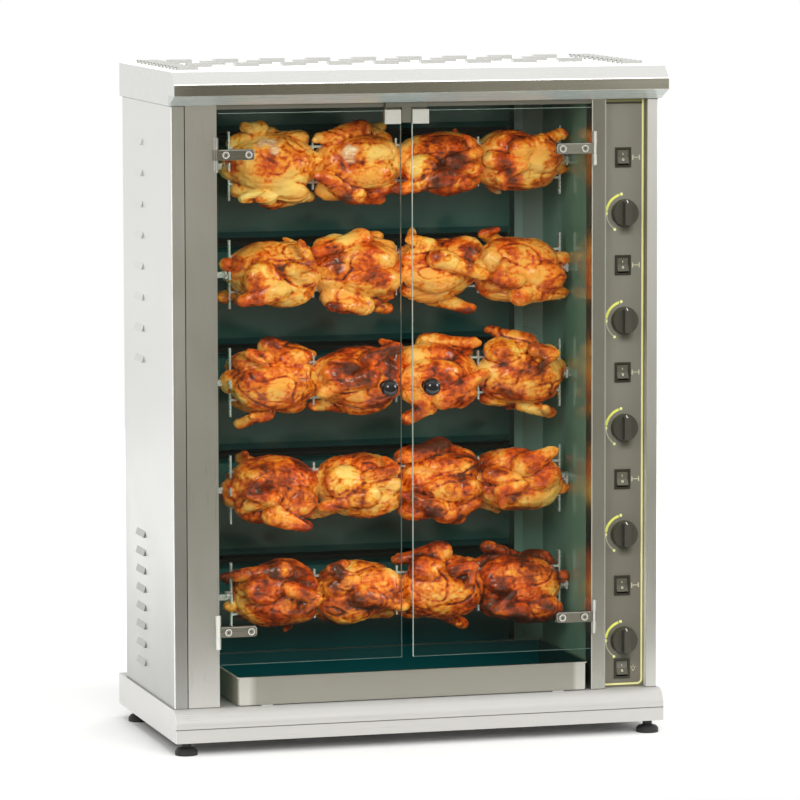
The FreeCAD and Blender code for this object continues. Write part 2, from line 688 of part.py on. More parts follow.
def build_cap():
    side = d.sheet
    band_low = cap_z + d.nose_low
    band_high = band_low + d.nose_band
    lip_y = face_y - d.cap_lip
    outer = prism("cap_outer", "YZ", -half_width, d.overall_width, (
        (cap_back, cap_z),
        (cap_back, cap_top),
        (nose_y + d.nose_slope, cap_top, d.nose_round),
        (nose_y, band_high, d.nose_round),
        (nose_y, band_low, d.nose_round / 2),
        (lip_y, cap_z),
    ))
    inner = prism("cap_inner", "YZ", side - half_width, d.overall_width - side * 2, (
        (cap_back - side, cap_z + side),
        (cap_back - side, cap_top - side),
        (nose_y + d.nose_slope + side / 2, cap_top - side),
        (nose_y + side, band_high - side / 2),
        (nose_y + side, band_low + side * 2 / 3),
        (lip_y, cap_z + side),
    ))
    mouth = box("cap_mouth",
                (d.cap_flange - half_body, face_y + d.cap_flange, cap_z),
                (half_body - d.cap_flange, rear_y - d.cap_flange, cap_z + side))
    cuts = [inner, mouth]
    hoods = []
    for i in range(VENT_ROWS):
        y = face_y + d.vent_front + d.vent_pitch_deep * i
        for column in range(VENT_COLUMNS - i % 2):
            x = d.vent_left - half_width + d.vent_pitch_across * (column + i % 2 / 2)
            hood, room = vent_hood(f"vent_{i}_{column}", x, y)
            hoods.append(hood)
            cuts.append(room)
    for i in range(END_VENTS):
        y = face_y + d.end_vent_front + d.end_vent_pitch * i
        for end, x in enumerate((d.end_vent_side - half_width,
                                 half_width - d.end_vent_side - d.end_vent_length)):
            cuts.append(cap_slot(f"end_vent_{i}_{end}", x, y, d.end_vent_length, d.end_vent_width))
    node("top_cap", cut("top_cap", fuse("cap_with_hoods", outer, *hoods), *cuts))


def vent_hood(name, x, y):
    """A pressed hood over a slot in the cap, closed in front and open behind, and its hollow."""
    wall = d.vent_wall
    top = cap_top + d.vent_rise
    hood = prism(f"{name}_hood", "YZ", x, d.vent_length, (
        (y, cap_top - d.sheet),
        (y, cap_top),
        (y + d.vent_slope, top),
        (y + d.vent_width, top),
        (y + d.vent_width, cap_top - d.sheet),
    ))
    room = prism(f"{name}_room", "YZ", x + wall, d.vent_length - wall * 2, (
        (y + wall, cap_top - d.sheet),
        (y + wall, cap_top),
        (y + d.vent_slope + wall, top - wall),
        (y + d.vent_width, top - wall),
        (y + d.vent_width, cap_top - d.sheet),
    ))
    return hood, room


def cap_slot(name, x, y, length, width):
    """A slot through the cap's top."""
    return box(name, (x, y, cap_top - d.sheet), (x + length, y + width, cap_top))


def build_pillars():
    side = d.sheet
    node("left_front_pillar", prism("left_front_pillar", "XY", floor_z, d.body_height, (
        (pillar_x, face_y),
        (cavity_left, face_y),
        (cavity_left, lining_y),
        (cavity_left - side, lining_y),
        (cavity_left - side, face_y + side),
        (pillar_x + side, face_y + side),
        (pillar_x + side, lining_y),
        (pillar_x, lining_y),
    )))
    node("right_front_pillar", prism("right_front_pillar", "XY", floor_z, d.body_height, (
        (cavity_right, face_y),
        (panel_left, face_y),
        (panel_left, panel_y),
        (panel_left - side, panel_y),
        (panel_left - side, face_y + side),
        (cavity_right + side, face_y + side),
        (cavity_right + side, lining_y),
        (cavity_right, lining_y),
    )))


def switch_heights():
    """Heights of the motor switches from the top, then the lamp switch."""
    return [spit_z(row) + d.switch_rise for row in range(ROWS)] + [floor_z + d.lamp_switch_height]


def build_control_panel():
    plate = box("panel_plate", (panel_left - d.panel_overlap, panel_y, floor_z),
                (panel_right + d.panel_overlap, panel_back, cap_z))
    cuts = []
    for i in range(ROWS):
        cuts.append(cylinder(f"spindle_hole_{i}", (knob_x, panel_y, spit_z(i) - d.knob_drop),
                             d.spindle_radius + d.screw_play, d.panel_thickness, "Y"))
    body_x = d.switch_width / 2 - d.switch_wall
    body_z = d.switch_height / 2 - d.switch_wall
    for i, z in enumerate(switch_heights()):
        cuts.append(box(f"switch_hole_{i}", (switch_x - body_x, panel_y, z - body_z),
                        (switch_x + body_x, panel_back, z + body_z)))
    node("control_panel", cut("control_panel", plate, *cuts))


def build_header():
    side = d.sheet
    node("front_header", prism("front_header", "YZ", cavity_left, d.cavity_width, (
        (header_y, cap_z),
        (header_y, ceiling_z),
        (lining_y, ceiling_z),
        (lining_y, cap_z),
        (lining_y - side, cap_z),
        (lining_y - side, ceiling_z + side),
        (header_y + side, ceiling_z + side),
        (header_y + side, cap_z),
    )))


def build_linings():
    side = d.sheet
    height = ceiling_z - floor_z
    bend = side * BEND
    straight = oven_y - d.corner_cut
    sheet = prism("right_lining_sheet", "XY", floor_z, height, (
        (cavity_right, lining_y),
        (cavity_right, straight),
        (cavity_right - d.corner_cut, oven_y),
        (cavity_right - d.corner_cut - d.corner_flange, oven_y),
        (cavity_right - d.corner_cut - d.corner_flange, back_lining_y),
        (cavity_right - d.corner_cut + bend, back_lining_y),
        (cavity_right + side, straight + bend),
        (cavity_right + side, lining_y),
    ))
    holes = [cylinder(f"socket_hole_{i}", (cavity_right, spit_y, spit_z(i)), d.wall_hole_radius,
                      side, "X") for i in range(ROWS)]
    node("oven_right_wall", cut("oven_right_wall", sheet, *holes))
    plain = mirror("left_lining_sheet", sheet, cavity_middle)
    holes = [cylinder(f"bush_hole_{i}", (cavity_left, spit_y, spit_z(i)),
                      d.bush_radius + d.running_play, side, "-X") for i in range(ROWS)]
    node("oven_left_wall", cut("oven_left_wall", plain, *holes))
    edge = d.corner_cut + d.sheet
    back = box("back_lining_sheet", (cavity_left + edge, back_lining_y, floor_z),
               (cavity_right - edge, back_lining_y + side, ceiling_z))
    slots = []
    for i in range(ROWS):
        z = spit_z(i) + d.slot_sill
        slots.append(box(f"burner_slot_{i}", (slot_left, back_lining_y, z),
                         (slot_right, back_lining_y + side, z + d.slot_height)))
    node("oven_back_wall", cut("oven_back_wall", back, *slots))


def lamp_x():
    return cavity_left + d.lamp_across


def build_ceiling():
    side = d.sheet
    plate = box("ceiling_sheet", (cavity_left - side, lining_y, ceiling_z),
                (cavity_right + side, back_lining_y + side, ceiling_z + side))
    lamp_y = face_y + d.lamp_setback
    cuts = [cylinder("lamp_hole", (lamp_x(), lamp_y, ceiling_z), d.lamp_radius + d.running_play,
                     side, "Z")]
    for i in range(FLUE_SLOTS):
        x = cavity_left + d.flue_pitch * (i + 0.5)
        cuts.append(box(f"flue_{i}", (x, spit_y, ceiling_z),
                        (x + d.flue_length, spit_y + d.flue_width, ceiling_z + side)))
    node("oven_ceiling", cut("oven_ceiling", plate, *cuts))
    rim = d.lamp_radius + d.lamp_rim
    lens = turned("lamp_lens", (lamp_x(), lamp_y, ceiling_z), "Z", (
        (0, 0),
        (d.lamp_radius, 0),
        (d.lamp_radius, side),
        (rim, side),
        (rim, side * 2),
        (0, side * 2),
    ))
    cup = turned("lamp_cup", (lamp_x(), lamp_y, ceiling_z + side * 2), "Z", (
        (rim, 0),
        (rim, d.lamp_cup_height),
        (0, d.lamp_cup_height),
        (0, d.lamp_cup_height - side),
        (rim - side, d.lamp_cup_height - side),
        (rim - side, 0),
    ))
    node("oven_lamp", group("oven_lamp", lens, cup))


def build_burners():
    side = d.sheet
    hoods = []
    burners = []
    for i in range(ROWS):
        sill = spit_z(i) + d.slot_sill
        lintel = sill + d.slot_height
        front = back_lining_y - d.hood_reach
        hoods.append(prism(f"hood_{i}", "YZ", slot_left, slot_right - slot_left, (
            (front, lintel),
            (back_lining_y, lintel),
            (back_lining_y, lintel + d.hood_flange),
            (back_lining_y - side, lintel + d.hood_flange),
            (back_lining_y - side, lintel + side),
            (front, lintel + side),
        )))
        hoods.append(prism(f"sill_{i}", "YZ", slot_left, slot_right - slot_left, (
            (front, sill),
            (front, sill - side),
            (back_lining_y - side, sill - side),
            (back_lining_y - side, sill - d.hood_flange),
            (back_lining_y, sill - d.hood_flange),
            (back_lining_y, sill),
        )))
        z = sill + d.slot_height / 2
        long = slot_right - slot_left
        tube = cylinder(f"burner_tube_{i}", (slot_left, burner_y, z), d.burner_radius, long, "X")
        hollow = cylinder(f"burner_hollow_{i}", (slot_left + side * 2, burner_y, z),
                          d.burner_radius - side, long - side * 4, "X")
        port = box(f"burner_port_{i}",
                   (slot_left + side * 4, burner_y - d.burner_radius, z - d.burner_port / 2),
                   (slot_right - side * 4, burner_y - d.burner_radius / 2, z + d.burner_port / 2))
        burners.append(cut(f"burner_{i}", tube, hollow, port))
        for end, x in enumerate((slot_left + d.saddle_inset,
                                 slot_right - d.saddle_inset - d.saddle_width)):
            block = box(f"saddle_block_{i}_{end}",
                        (x, back_lining_y + side, lintel),
                        (x + d.saddle_width, burner_y, lintel + d.hood_flange))
            seat = cylinder(f"saddle_seat_{i}_{end}", (x, burner_y, z),
                            d.burner_radius + d.running_play, d.saddle_width, "X")
            burners.append(cut(f"saddle_{i}_{end}", block, seat))
    node("burner_hoods", group("burner_hoods", *hoods))
    node("burner_tubes", group("burner_tubes", *burners))


def build_gas():
    valves = []
    pipes = []
    half = d.valve_width / 2
    elbow = d.feed_elbow / 2
    outlet_x = knob_x + half + elbow
    for i in range(ROWS):
        z = spit_z(i) - d.knob_drop
        neck_end = panel_back + d.valve_neck
        body = box(f"valve_body_{i}", (knob_x - half, neck_end, z - d.valve_height / 2),
                   (knob_x + half, manifold_y, z + d.valve_height / 2))
        neck = cylinder(f"valve_neck_{i}", (knob_x, panel_back, z), d.valve_neck_radius,
                        d.valve_neck, "Y")
        bore = cylinder(f"valve_bore_{i}", (knob_x, panel_back, z),
                        d.spindle_radius + d.running_play, d.spindle_tail + side_gap(), "Y")
        valves.append(cut(f"valve_{i}", fuse(f"valve_solid_{i}", body, neck), bore))
        valve_y = neck_end + d.valve_depth / 2
        burner_z = spit_z(i) + d.slot_sill + d.slot_height / 2
        corners = ((outlet_x, valve_y, z), (outlet_x, burner_y, z), (outlet_x, burner_y, burner_z))
        elbows = [box(f"elbow_{i}_{k}", (x - elbow, y - elbow, zz - elbow),
                      (x + elbow, y + elbow, zz + elbow)) for k, (x, y, zz) in enumerate(corners)]
        runs = [
            cylinder(f"feed_back_{i}", corners[0], d.feed_radius, burner_y - valve_y, "Y"),
            cylinder(f"feed_up_{i}", corners[1], d.feed_radius, burner_z - z, "Z"),
            cylinder(f"feed_in_{i}", corners[2], d.feed_radius, outlet_x - slot_right, "-X"),
        ]
        pipes.append(fuse(f"feed_{i}", *elbows, *runs))
    reach = d.manifold_side / 2
    low = floor_z + d.manifold_low
    high = spit_z(0) - d.knob_drop + d.valve_height / 2
    column = box("manifold_column", (knob_x - reach, manifold_y, low),
                 (knob_x + reach, manifold_y + d.manifold_side, high))
    inside = rear_y - d.sheet
    start = manifold_y + d.manifold_side
    pipe = cylinder("manifold_pipe", (knob_x, start, inlet_z), d.inlet_pipe_radius, inside - start, "Y")
    stub = cylinder("inlet_stub", (knob_x, inside, inlet_z), d.inlet_radius,
                    d.inlet_reach + d.sheet, "Y")
    nut = cylinder("inlet_nut", (knob_x, inside, inlet_z), d.inlet_flange_radius,
                   d.inlet_nut_thickness, "-Y")
    flange = cylinder("inlet_flange", (knob_x, rear_y, inlet_z), d.inlet_flange_radius,
                      d.inlet_flange_thickness, "Y")
    pipes.append(fuse("manifold", column, pipe, stub, nut, flange))
    node("gas_valves", group("gas_valves", *valves))
    node("gas_manifold", group("gas_manifold", *pipes))


def side_gap():
    """Room behind a spindle's end."""
    return d.running_play * 10


def build_gland():
    x = knob_x - d.gland_across
    inside = rear_y - d.sheet
    thick = d.gland_nut_thickness
    outer = cylinder("gland_dome", (x, rear_y, inlet_z), d.gland_nut_radius, thick * 2, "Y")
    inner = cylinder("gland_nut", (x, inside, inlet_z), d.gland_nut_radius, thick, "-Y")
    thread = cylinder("gland_thread", (x, inside, inlet_z), d.gland_radius, d.sheet, "Y")
    bore = cylinder("gland_bore", (x, inside - thick, inlet_z), d.gland_bore_radius,
                    thick * 3 + d.sheet, "Y")
    node("mains_gland", cut("mains_gland", fuse("gland_solid", outer, thread, inner), bore))


def build_drives():
    motors = []
    bushes = []
    wall = cavity_right + d.sheet
    half = d.gearbox_width / 2
    for i in range(ROWS):
        z = spit_z(i)
        case = box(f"gearbox_{i}", (wall, spit_y - half, z - half),
                   (wall + d.gearbox_length, spit_y + half, z + half))
        can = cylinder(f"motor_can_{i}", (wall + d.gearbox_length, spit_y, z), d.motor_radius,
                       d.motor_length, "X")
        socket_end = cavity_right - d.socket_reach + d.socket_length
        mouth = cylinder(f"gearbox_mouth_{i}", (wall, spit_y, z), d.socket_radius + d.socket_gap,
                         socket_end + d.socket_gap - wall, "X")
        bore = cylinder(f"gearbox_bore_{i}", (wall, spit_y, z), d.shaft_radius + d.running_play,
                        socket_end + d.shaft_length + side_gap() - wall, "X")
        motors.append(cut(f"motor_{i}", fuse(f"motor_solid_{i}", case, can), mouth, bore))
        flange = cylinder(f"bush_flange_{i}", (cavity_left, spit_y, z), d.bush_flange_radius,
                          d.bush_flange, "X")
        barrel = cylinder(f"bush_barrel_{i}", (cavity_left, spit_y, z), d.bush_radius,
                          d.bush_length, "-X")
        hole = cylinder(f"bush_bore_{i}", (cavity_left + d.bush_flange, spit_y, z),
                        d.journal_radius + d.running_play, d.bush_length + d.bush_flange, "-X")
        bushes.append(cut(f"bush_{i}", fuse(f"bush_solid_{i}", flange, barrel), hole))
    node("spit_motors", group("spit_motors", *motors))
    node("spit_bushes", group("spit_bushes", *bushes))


def square_bar(name, x_low, x_high, side, z):
    """A square bar along a spit's axis."""
    half = side / 2
    return box(name, (x_low, spit_y - half, z - half), (x_high, spit_y + half, z + half))


def build_spit(row):
    number = row + 1
    z = spit_z(row)
    socket_x = cavity_right - d.socket_reach
    rod_end = socket_x + d.socket_grip
    journal_x = cavity_left - d.journal_tail
    square_x = journal_x + d.journal_length
    square = square_bar(f"spit_square_{number}", square_x, rod_end, d.spit_side, z)
    journal = cylinder(f"spit_journal_{number}", (journal_x, spit_y, z), d.journal_radius,
                       d.journal_length, "X")
    socket = cylinder(f"socket_{number}", (socket_x, spit_y, z), d.socket_radius, d.socket_length, "X")
    shaft = cylinder(f"shaft_{number}", (socket_x + d.socket_length, spit_y, z), d.shaft_radius,
                     d.shaft_length, "X")
    hole = square_bar(f"socket_hole_square_{number}", socket_x, rod_end + d.spit_play,
                      d.spit_side + d.spit_play * 2, z)
    node(f"spit_rod_{number}", group(
        f"spit_rod_{number}",
        fuse(f"rod_{number}", square, journal),
        cut(f"drive_socket_{number}", fuse(f"socket_solid_{number}", socket, shaft), hole),
    ))
    forks = []
    birds = []
    for i in range(BIRDS + 1):
        x = cavity_left + d.bird_left + d.bird_pitch * i
        forks += fork(f"{number}_{i}", x, z, i > 0, i < BIRDS)
    for i in range(BIRDS):
        x = cavity_left + d.bird_left + d.bird_pitch * i
        birds.append(bird(f"{number}_{i}", x + d.fork_thickness + d.bird_gap, z))
    node(f"spit_forks_{number}", group(f"spit_forks_{number}", *forks))
    node(f"chickens_{number}", group(f"chickens_{number}", *birds))


def fork(tag, x, z, to_left, to_right):
    """A fork whose crossbar starts at x. An end fork has a hub and a thumb screw on its far side."""
    half = d.fork_width / 2
    far = x + d.fork_thickness
    reach = (d.middle_fork_height if to_left and to_right else d.fork_height) / 2
    pieces = [box(f"crossbar_{tag}", (x, spit_y - half, z - reach), (far, spit_y + half, z + reach))]
    for k, z_tine in enumerate((z - d.tine_spread, z + d.tine_spread)):
        if to_right:
            pieces.append(tine(f"tine_right_{tag}_{k}", (far, spit_y, z_tine), "X"))
        if to_left:
            pieces.append(tine(f"tine_left_{tag}_{k}", (x, spit_y, z_tine), "-X"))
    hole = square_bar(f"fork_hole_{tag}", x - d.fork_hub_length, far + d.fork_hub_length,
                      d.spit_side + d.spit_play * 2, z)
    if to_left and to_right:
        boss = cylinder(f"fork_boss_{tag}", (x, spit_y, z), d.fork_hub_radius, d.fork_thickness, "X")
        return [cut(f"fork_{tag}", fuse(f"fork_solid_{tag}", boss, *pieces), hole)]
    hub_x = x - d.fork_hub_length if to_right else far
    pieces.append(cylinder(f"fork_hub_{tag}", (hub_x, spit_y, z), d.fork_hub_radius,
                           d.fork_hub_length, "X"))
    middle = hub_x + d.fork_hub_length / 2
    start = spit_y - d.spit_side / 2 - d.spit_play
    shank_length = d.thumb_reach - d.spit_side / 2 - d.spit_play
    shank_hole = cylinder(f"thumb_hole_{tag}", (middle, start, z), d.thumb_radius,
                          d.fork_hub_radius, "-Y")
    shank = cylinder(f"thumb_shank_{tag}", (middle, start, z), d.thumb_radius, shank_length, "-Y")
    head = box(f"thumb_head_{tag}",
               (middle - d.thumb_head_thickness / 2, spit_y - d.thumb_reach - d.thumb_head_height,
                z - d.thumb_head / 2),
               (middle + d.thumb_head_thickness / 2, spit_y - d.thumb_reach, z + d.thumb_head / 2))
    return [cut(f"fork_{tag}", fuse(f"fork_solid_{tag}", *pieces), hole, shank_hole),
            fuse(f"thumb_screw_{tag}", shank, head)]


def tine(name, root, axis):
    """A spike that tapers from its root to its point."""
    obj = doc.addObject("Part::Wedge", name)
    turns = {
        "X": FreeCAD.Rotation(FreeCAD.Vector(0, 0, 1), -90),
        "-X": FreeCAD.Rotation(FreeCAD.Vector(0, 0, 1), 90),
    }
    obj.Placement = FreeCAD.Placement(FreeCAD.Vector(), turns[axis])
    half = d.tine_side / 2
    tip = d.tine_tip / 2
    for prop, value in (("Xmin", -half), ("Xmax", half), ("Zmin", -half), ("Zmax", half),
                        ("X2min", -tip), ("X2max", tip), ("Z2min", -tip), ("Z2max", tip),
                        ("Ymin", 0), ("Ymax", d.tine_length)):
        bind(obj, prop, value)
    return put(obj, root)


def bird(tag, x, z):
    """A plain stand-in for one bird: an octagonal lozenge on the rod."""
    length = d.bird_pitch - d.fork_thickness - d.bird_gap * 2
    sections = []
    for k, (along, share) in enumerate(BIRD_SECTIONS):
        ring = turn(doc.addObject("Part::RegularPolygon", f"bird_ring_{tag}_{k}"), "X")
        ring.Polygon = OCTAGON
        bind(ring, "Circumradius", d.bird_radius * share)
        sections.append(put(ring, (x + length * along, spit_y, z)))
    loft = doc.addObject("Part::Loft", f"bird_{tag}")
    loft.Sections = sections
    loft.Solid = True
    loft.Ruled = True
    return loft


def build_knob(row):
    number = row + 1
    z = spit_z(row) - d.knob_drop
    foot_y = panel_y - d.knob_gap
    face = foot_y - d.knob_skirt
    skirt = cone(f"knob_skirt_{number}", (knob_x, foot_y, z), (d.knob_radius, d.knob_face_radius),
                 d.knob_skirt, "-Y")
    half = d.knob_grip_width / 2
    slab = box(f"knob_slab_{number}", (knob_x - half, face - d.knob_grip_height, z - d.knob_radius),
               (knob_x + half, face, z + d.knob_radius))
    round_off = cone(f"knob_round_{number}", (knob_x, face, z),
                     (d.knob_face_radius, d.knob_face_radius * 0.9), d.knob_grip_height, "-Y")
    grip = doc.addObject("Part::Common", f"knob_grip_{number}")
    grip.Base = slab
    grip.Tool = round_off
    nose = panel_y - d.spindle_nose
    long = d.spindle_nose + d.panel_thickness + d.spindle_tail
    hole = cylinder(f"knob_hole_{number}", (knob_x, foot_y, z), d.spindle_radius + d.running_play,
                    d.spindle_nose - d.knob_gap + d.running_play, "-Y")
    spindle = cylinder(f"spindle_{number}", (knob_x, nose, z), d.spindle_radius, long, "Y")
    node(f"burner_knob_{number}", group(
        f"burner_knob_{number}",
        cut(f"knob_{number}", fuse(f"knob_solid_{number}", skirt, grip), hole),
        spindle,
    ))


def build_switches():
    bezels = []
    pivot_y = panel_y + d.rocker_setback
    for i, z in enumerate(switch_heights()):
        number = i + 1
        half_x = d.switch_width / 2
        half_z = d.switch_height / 2
        wall = d.switch_wall
        frame = box(f"bezel_{i}", (switch_x - half_x, panel_y - d.switch_bezel, z - half_z),
                    (switch_x + half_x, panel_y, z + half_z))
        inset = wall + d.running_play
        case = box(f"switch_case_{i}", (switch_x - half_x + inset, panel_y, z - half_z + inset),
                   (switch_x + half_x - inset, panel_y + d.switch_depth, z + half_z - inset))
        room_x = d.rocker_width / 2 + d.rocker_play
        room_z = d.rocker_radius + d.rocker_play
        room = box(f"switch_room_{i}", (switch_x - room_x, panel_y - d.switch_bezel, z - room_z),
                   (switch_x + room_x, panel_y + d.switch_depth - wall, z + room_z))
        pin_reach = d.rocker_width / 2 + d.rocker_pin_length
        pin_hole = cylinder(f"pin_hole_{i}", (switch_x - pin_reach - d.running_play, pivot_y, z),
                            d.rocker_pin_radius + d.running_play,
                            (pin_reach + d.running_play) * 2, "X")
        bezels.append(cut(f"switch_{i}", fuse(f"switch_solid_{i}", frame, case), room, pin_hole))
        node(f"rocker_{number}", rocker(number, (switch_x, pivot_y, z)))
    node("switch_bezels", group("switch_bezels", *bezels))


def rocker(number, pivot):
    """A rocker with a shallow V for a face, tipped about its own pivot pins."""
    reach = d.rocker_radius
    half = d.rocker_width / 2
    body = prism(f"rocker_body_{number}", "YZ", -half, d.rocker_width, (
        (reach * -0.3, 0),
        (reach * -0.47, reach * 0.88),
        (reach * 0.15, reach * 0.98),
        (reach * 0.15, reach * -0.98),
        (reach * -0.47, reach * -0.88),
    ))
    pin = cylinder(f"rocker_pin_{number}", (-half - d.rocker_pin_length, 0, 0), d.rocker_pin_radius,
                   d.rocker_width + d.rocker_pin_length * 2, "X")
    obj = fuse(f"rocker_{number}", body, pin)
    obj.Placement = FreeCAD.Placement(FreeCAD.Vector(), FreeCAD.Rotation(FreeCAD.Vector(1, 0, 0), 1))
    bind(obj, "Placement.Rotation.Angle", d.rocker_tilt)
    return put(obj, pivot)


def hinge_heights():
    return (glass_low + d.hinge_low_end, glass_high - d.hinge_high_end)


def build_hinge_brackets():
    """Brackets on the left pillar, and their mirror images on the right one."""
    side = d.sheet
    axis_x = cavity_left - d.hinge_out
    brackets = []
    for i, z in enumerate(hinge_heights()):
        low = z - d.hinge_barrel_length / 2
        high = z + d.hinge_barrel_length / 2
        gap_low = z - d.hinge_plate_height / 2 - d.hinge_play
        gap_high = z + d.hinge_plate_height / 2 + d.hinge_play
        pieces = [cylinder(f"hinge_pin_{i}", (axis_x, hinge_y, low), d.hinge_pin_radius,
                           d.hinge_barrel_length, "Z")]
        for k, (a, b) in enumerate(((low, gap_low), (gap_high, high))):
            pieces.append(cylinder(f"knuckle_{i}_{k}", (axis_x, hinge_y, a), d.hinge_barrel_radius,
                                   b - a, "Z"))
            pieces.append(box(f"hinge_web_{i}_{k}", (axis_x, hinge_y - side / 2, a),
                              (cavity_left + side, hinge_y + side / 2, b)))
            pieces.append(box(f"hinge_return_{i}_{k}", (cavity_left, hinge_y, a),
                              (cavity_left + side, face_y, b)))
        pieces.append(box(f"hinge_leaf_{i}", (cavity_left, face_y, low),
                          (cavity_left + side, face_y + d.hinge_leaf_depth, high)))
        brackets.append(fuse(f"hinge_bracket_{i}", *pieces))
    left = group("left_hinge_brackets", *brackets)
    right = mirror("right_hinge_brackets", left, cavity_middle)
    node("hinge_brackets", group("hinge_brackets", left, right))


def build_left_door():
    """The left door's pieces, which the right door mirrors."""
    axis_x = cavity_left - d.hinge_out
    edge = cavity_left + d.glass_side_gap
    free = cavity_middle - d.door_split / 2
    knob_at = free - d.door_knob_inset
    knob_z = glass_low + d.door_knob_height
    pane = prism("left_pane", "XZ", -glass_back, d.glass, (
        (edge, glass_low, d.glass_round),
        (free, glass_low, d.glass_round),
        (free, glass_high, d.glass_round),
        (edge, glass_high, d.glass_round),
    ))
    screw_places = [(cavity_left + reach, z) for z in hinge_heights()
                    for reach in (d.hinge_screw_near, d.hinge_screw_far)]
    holes = [cylinder(f"glass_hole_{i}", (x, glass_front, z), d.screw_radius + d.screw_play,
                      d.glass, "Y") for i, (x, z) in enumerate(screw_places)]
    holes.append(cylinder("glass_knob_hole", (knob_at, glass_front, knob_z),
                          d.screw_radius + d.screw_play, d.glass, "Y"))
    glass = cut("left_door_glass", pane, *holes)
    plates = []
    for i, z in enumerate(hinge_heights()):
        plates += hinge_plate(i, axis_x, edge, z)
    plates += [hinge_screw(i, x, z) for i, (x, z) in enumerate(screw_places)]
    plates = group("left_hinge_plates", *plates)
    stem_end = glass_front - d.door_knob_stem
    ball_y = stem_end - d.door_knob_radius + d.screw_play
    ball = put(doc.addObject("Part::Sphere", "door_knob_ball"), (knob_at, ball_y, knob_z))
    bind(ball, "Radius", d.door_knob_radius)
    stem = cylinder("door_knob_stem", (knob_at, glass_front, knob_z), d.door_knob_stem_radius,
                    d.door_knob_stem + d.screw_play * 2, "-Y")
    shank = cylinder("door_knob_shank", (knob_at, glass_front, knob_z), d.screw_radius,
                     d.glass, "Y")
    nut = cylinder("door_knob_nut", (knob_at, glass_back, knob_z), d.door_knob_nut_radius,
                   d.door_knob_nut, "Y")
    knob = group("left_door_knob", fuse("door_knob_handle", ball, stem),
                 fuse("door_knob_screw", shank, nut))
    clip = strike_clip(free)
    return {"door_glass": glass, "hinge_plates": plates, "door_knob": knob, "strike_clip": clip}


def hinge_plate(i, axis_x, edge, z):
    """A hinge's door leaf with its knuckle, and the plate behind the glass."""
    half = d.hinge_plate_height / 2
    far = cavity_left + d.hinge_plate_length
    leaf_back = glass_front
    leaf_front = leaf_back - d.hinge_plate
    leaf = prism(f"hinge_leaf_plate_{i}", "XZ", -leaf_back, d.hinge_plate, (
        (axis_x, z - half),
        (far, z - half, half / 2),
        (far, z + half, half / 2),
        (axis_x, z + half),
    ))
    barrel = cylinder(f"door_knuckle_{i}", (axis_x, hinge_y, z - half), d.hinge_barrel_radius,
                      d.hinge_plate_height, "Z")
    bore = cylinder(f"door_knuckle_bore_{i}", (axis_x, hinge_y, z - half),
                    d.hinge_pin_radius + d.running_play, d.hinge_plate_height, "Z")
    near = cavity_left + d.hinge_screw_near - half
    back = box(f"hinge_back_{i}", (near, glass_back, z - half),
               (far, glass_back + d.hinge_plate, z + half))
    holes = [cylinder(f"plate_hole_{i}_{k}", (cavity_left + reach, leaf_front, z), d.screw_radius,
                      d.glass + d.hinge_plate * 2, "Y")
             for k, reach in enumerate((d.hinge_screw_near, d.hinge_screw_far))]
    return [cut(f"hinge_plate_{i}", fuse(f"hinge_plate_solid_{i}", leaf, barrel), bore, *holes),
            cut(f"hinge_back_plate_{i}", back, *holes)]


def hinge_screw(i, x, z):
    """A pan-headed screw through the leaf, the glass and the plate behind it."""
    face = glass_front - d.hinge_plate
    head = cylinder(f"screw_head_{i}", (x, face, z), d.screw_head_radius, d.screw_head, "-Y")
    shank = cylinder(f"screw_shank_{i}", (x, face, z), d.screw_radius,
                     d.glass + d.hinge_plate * 2, "Y")
    return fuse(f"hinge_screw_{i}", head, shank)


def strike_clip(free):
    """A sheet clip over the glass's top corner, with a rim round its face."""
    left = free - d.strike_width
    low = glass_high - d.strike_height
    top = glass_high + d.strike_sheet
    front = glass_front - d.strike_sheet
    back = glass_back + d.strike_sheet
    outer = box("strike_outer", (left, front, low), (free, back, top))
    room = box("strike_room", (left, glass_front, low), (free, glass_back, glass_high))
    rim = box("strike_rim", (left, front - d.strike_rim_height, low), (free, front, top))
    dish = box("strike_dish", (left + d.strike_rim, front - d.strike_rim_height, low + d.strike_rim),
               (free - d.strike_rim, front, top - d.strike_rim))
    return fuse("left_strike_clip", cut("strike_fold", outer, room), cut("strike_border", rim, dish))


def build_doors():
    for name, left in build_left_door().items():
        node(f"left_{name}", left)
        node(f"right_{name}", mirror(f"right_{name}", left, cavity_middle))


def build_catch():
    """The catch under the header: a bracket, a magnet block behind the strikes, and a rib."""
    half = d.catch_width / 2
    rib = d.catch_rib / 2
    front = glass_front
    low = ceiling_z - d.catch_drop
    face_low = cap_z - d.catch_face
    block_y = glass_back + d.strike_sheet + d.strike_gap
    bracket = box("catch_bracket", (cavity_middle - half, front, face_low),
                  (cavity_middle + half, header_y, cap_z))
    block = box("catch_block", (cavity_middle - half, block_y, low),
                (cavity_middle + half, block_y + d.catch_depth, ceiling_z))
    tongue = box("catch_rib", (cavity_middle - rib, front, low),
                 (cavity_middle + rib, block_y, face_low))
    node("magnetic_catch", fuse("magnetic_catch", bracket, block, tongue))


def build_tray():
    left = cavity_left + d.tray_left
    right = left + d.tray_width
    back = face_y + d.tray_length
    low = floor_z + d.tray_lift
    high = low + d.tray_height
    side = d.sheet

    def outline(spread, radius):
        return ((left - spread, face_y - spread, radius), (right + spread, face_y - spread, radius),
                (right + spread, back + spread, radius), (left - spread, back + spread, radius))

    shell = prism("tray_outer", "XY", low, d.tray_height, outline(0, d.tray_round))
    rim = prism("tray_rim_sheet", "XY", high - side, side, outline(d.tray_rim, d.tray_round + d.tray_rim))
    room = prism("tray_room", "XY", low + side, d.tray_height - side,
                 outline(-side, d.tray_round - side))
    node("drip_tray", cut("drip_tray", fuse("tray_solid", shell, rim), room))


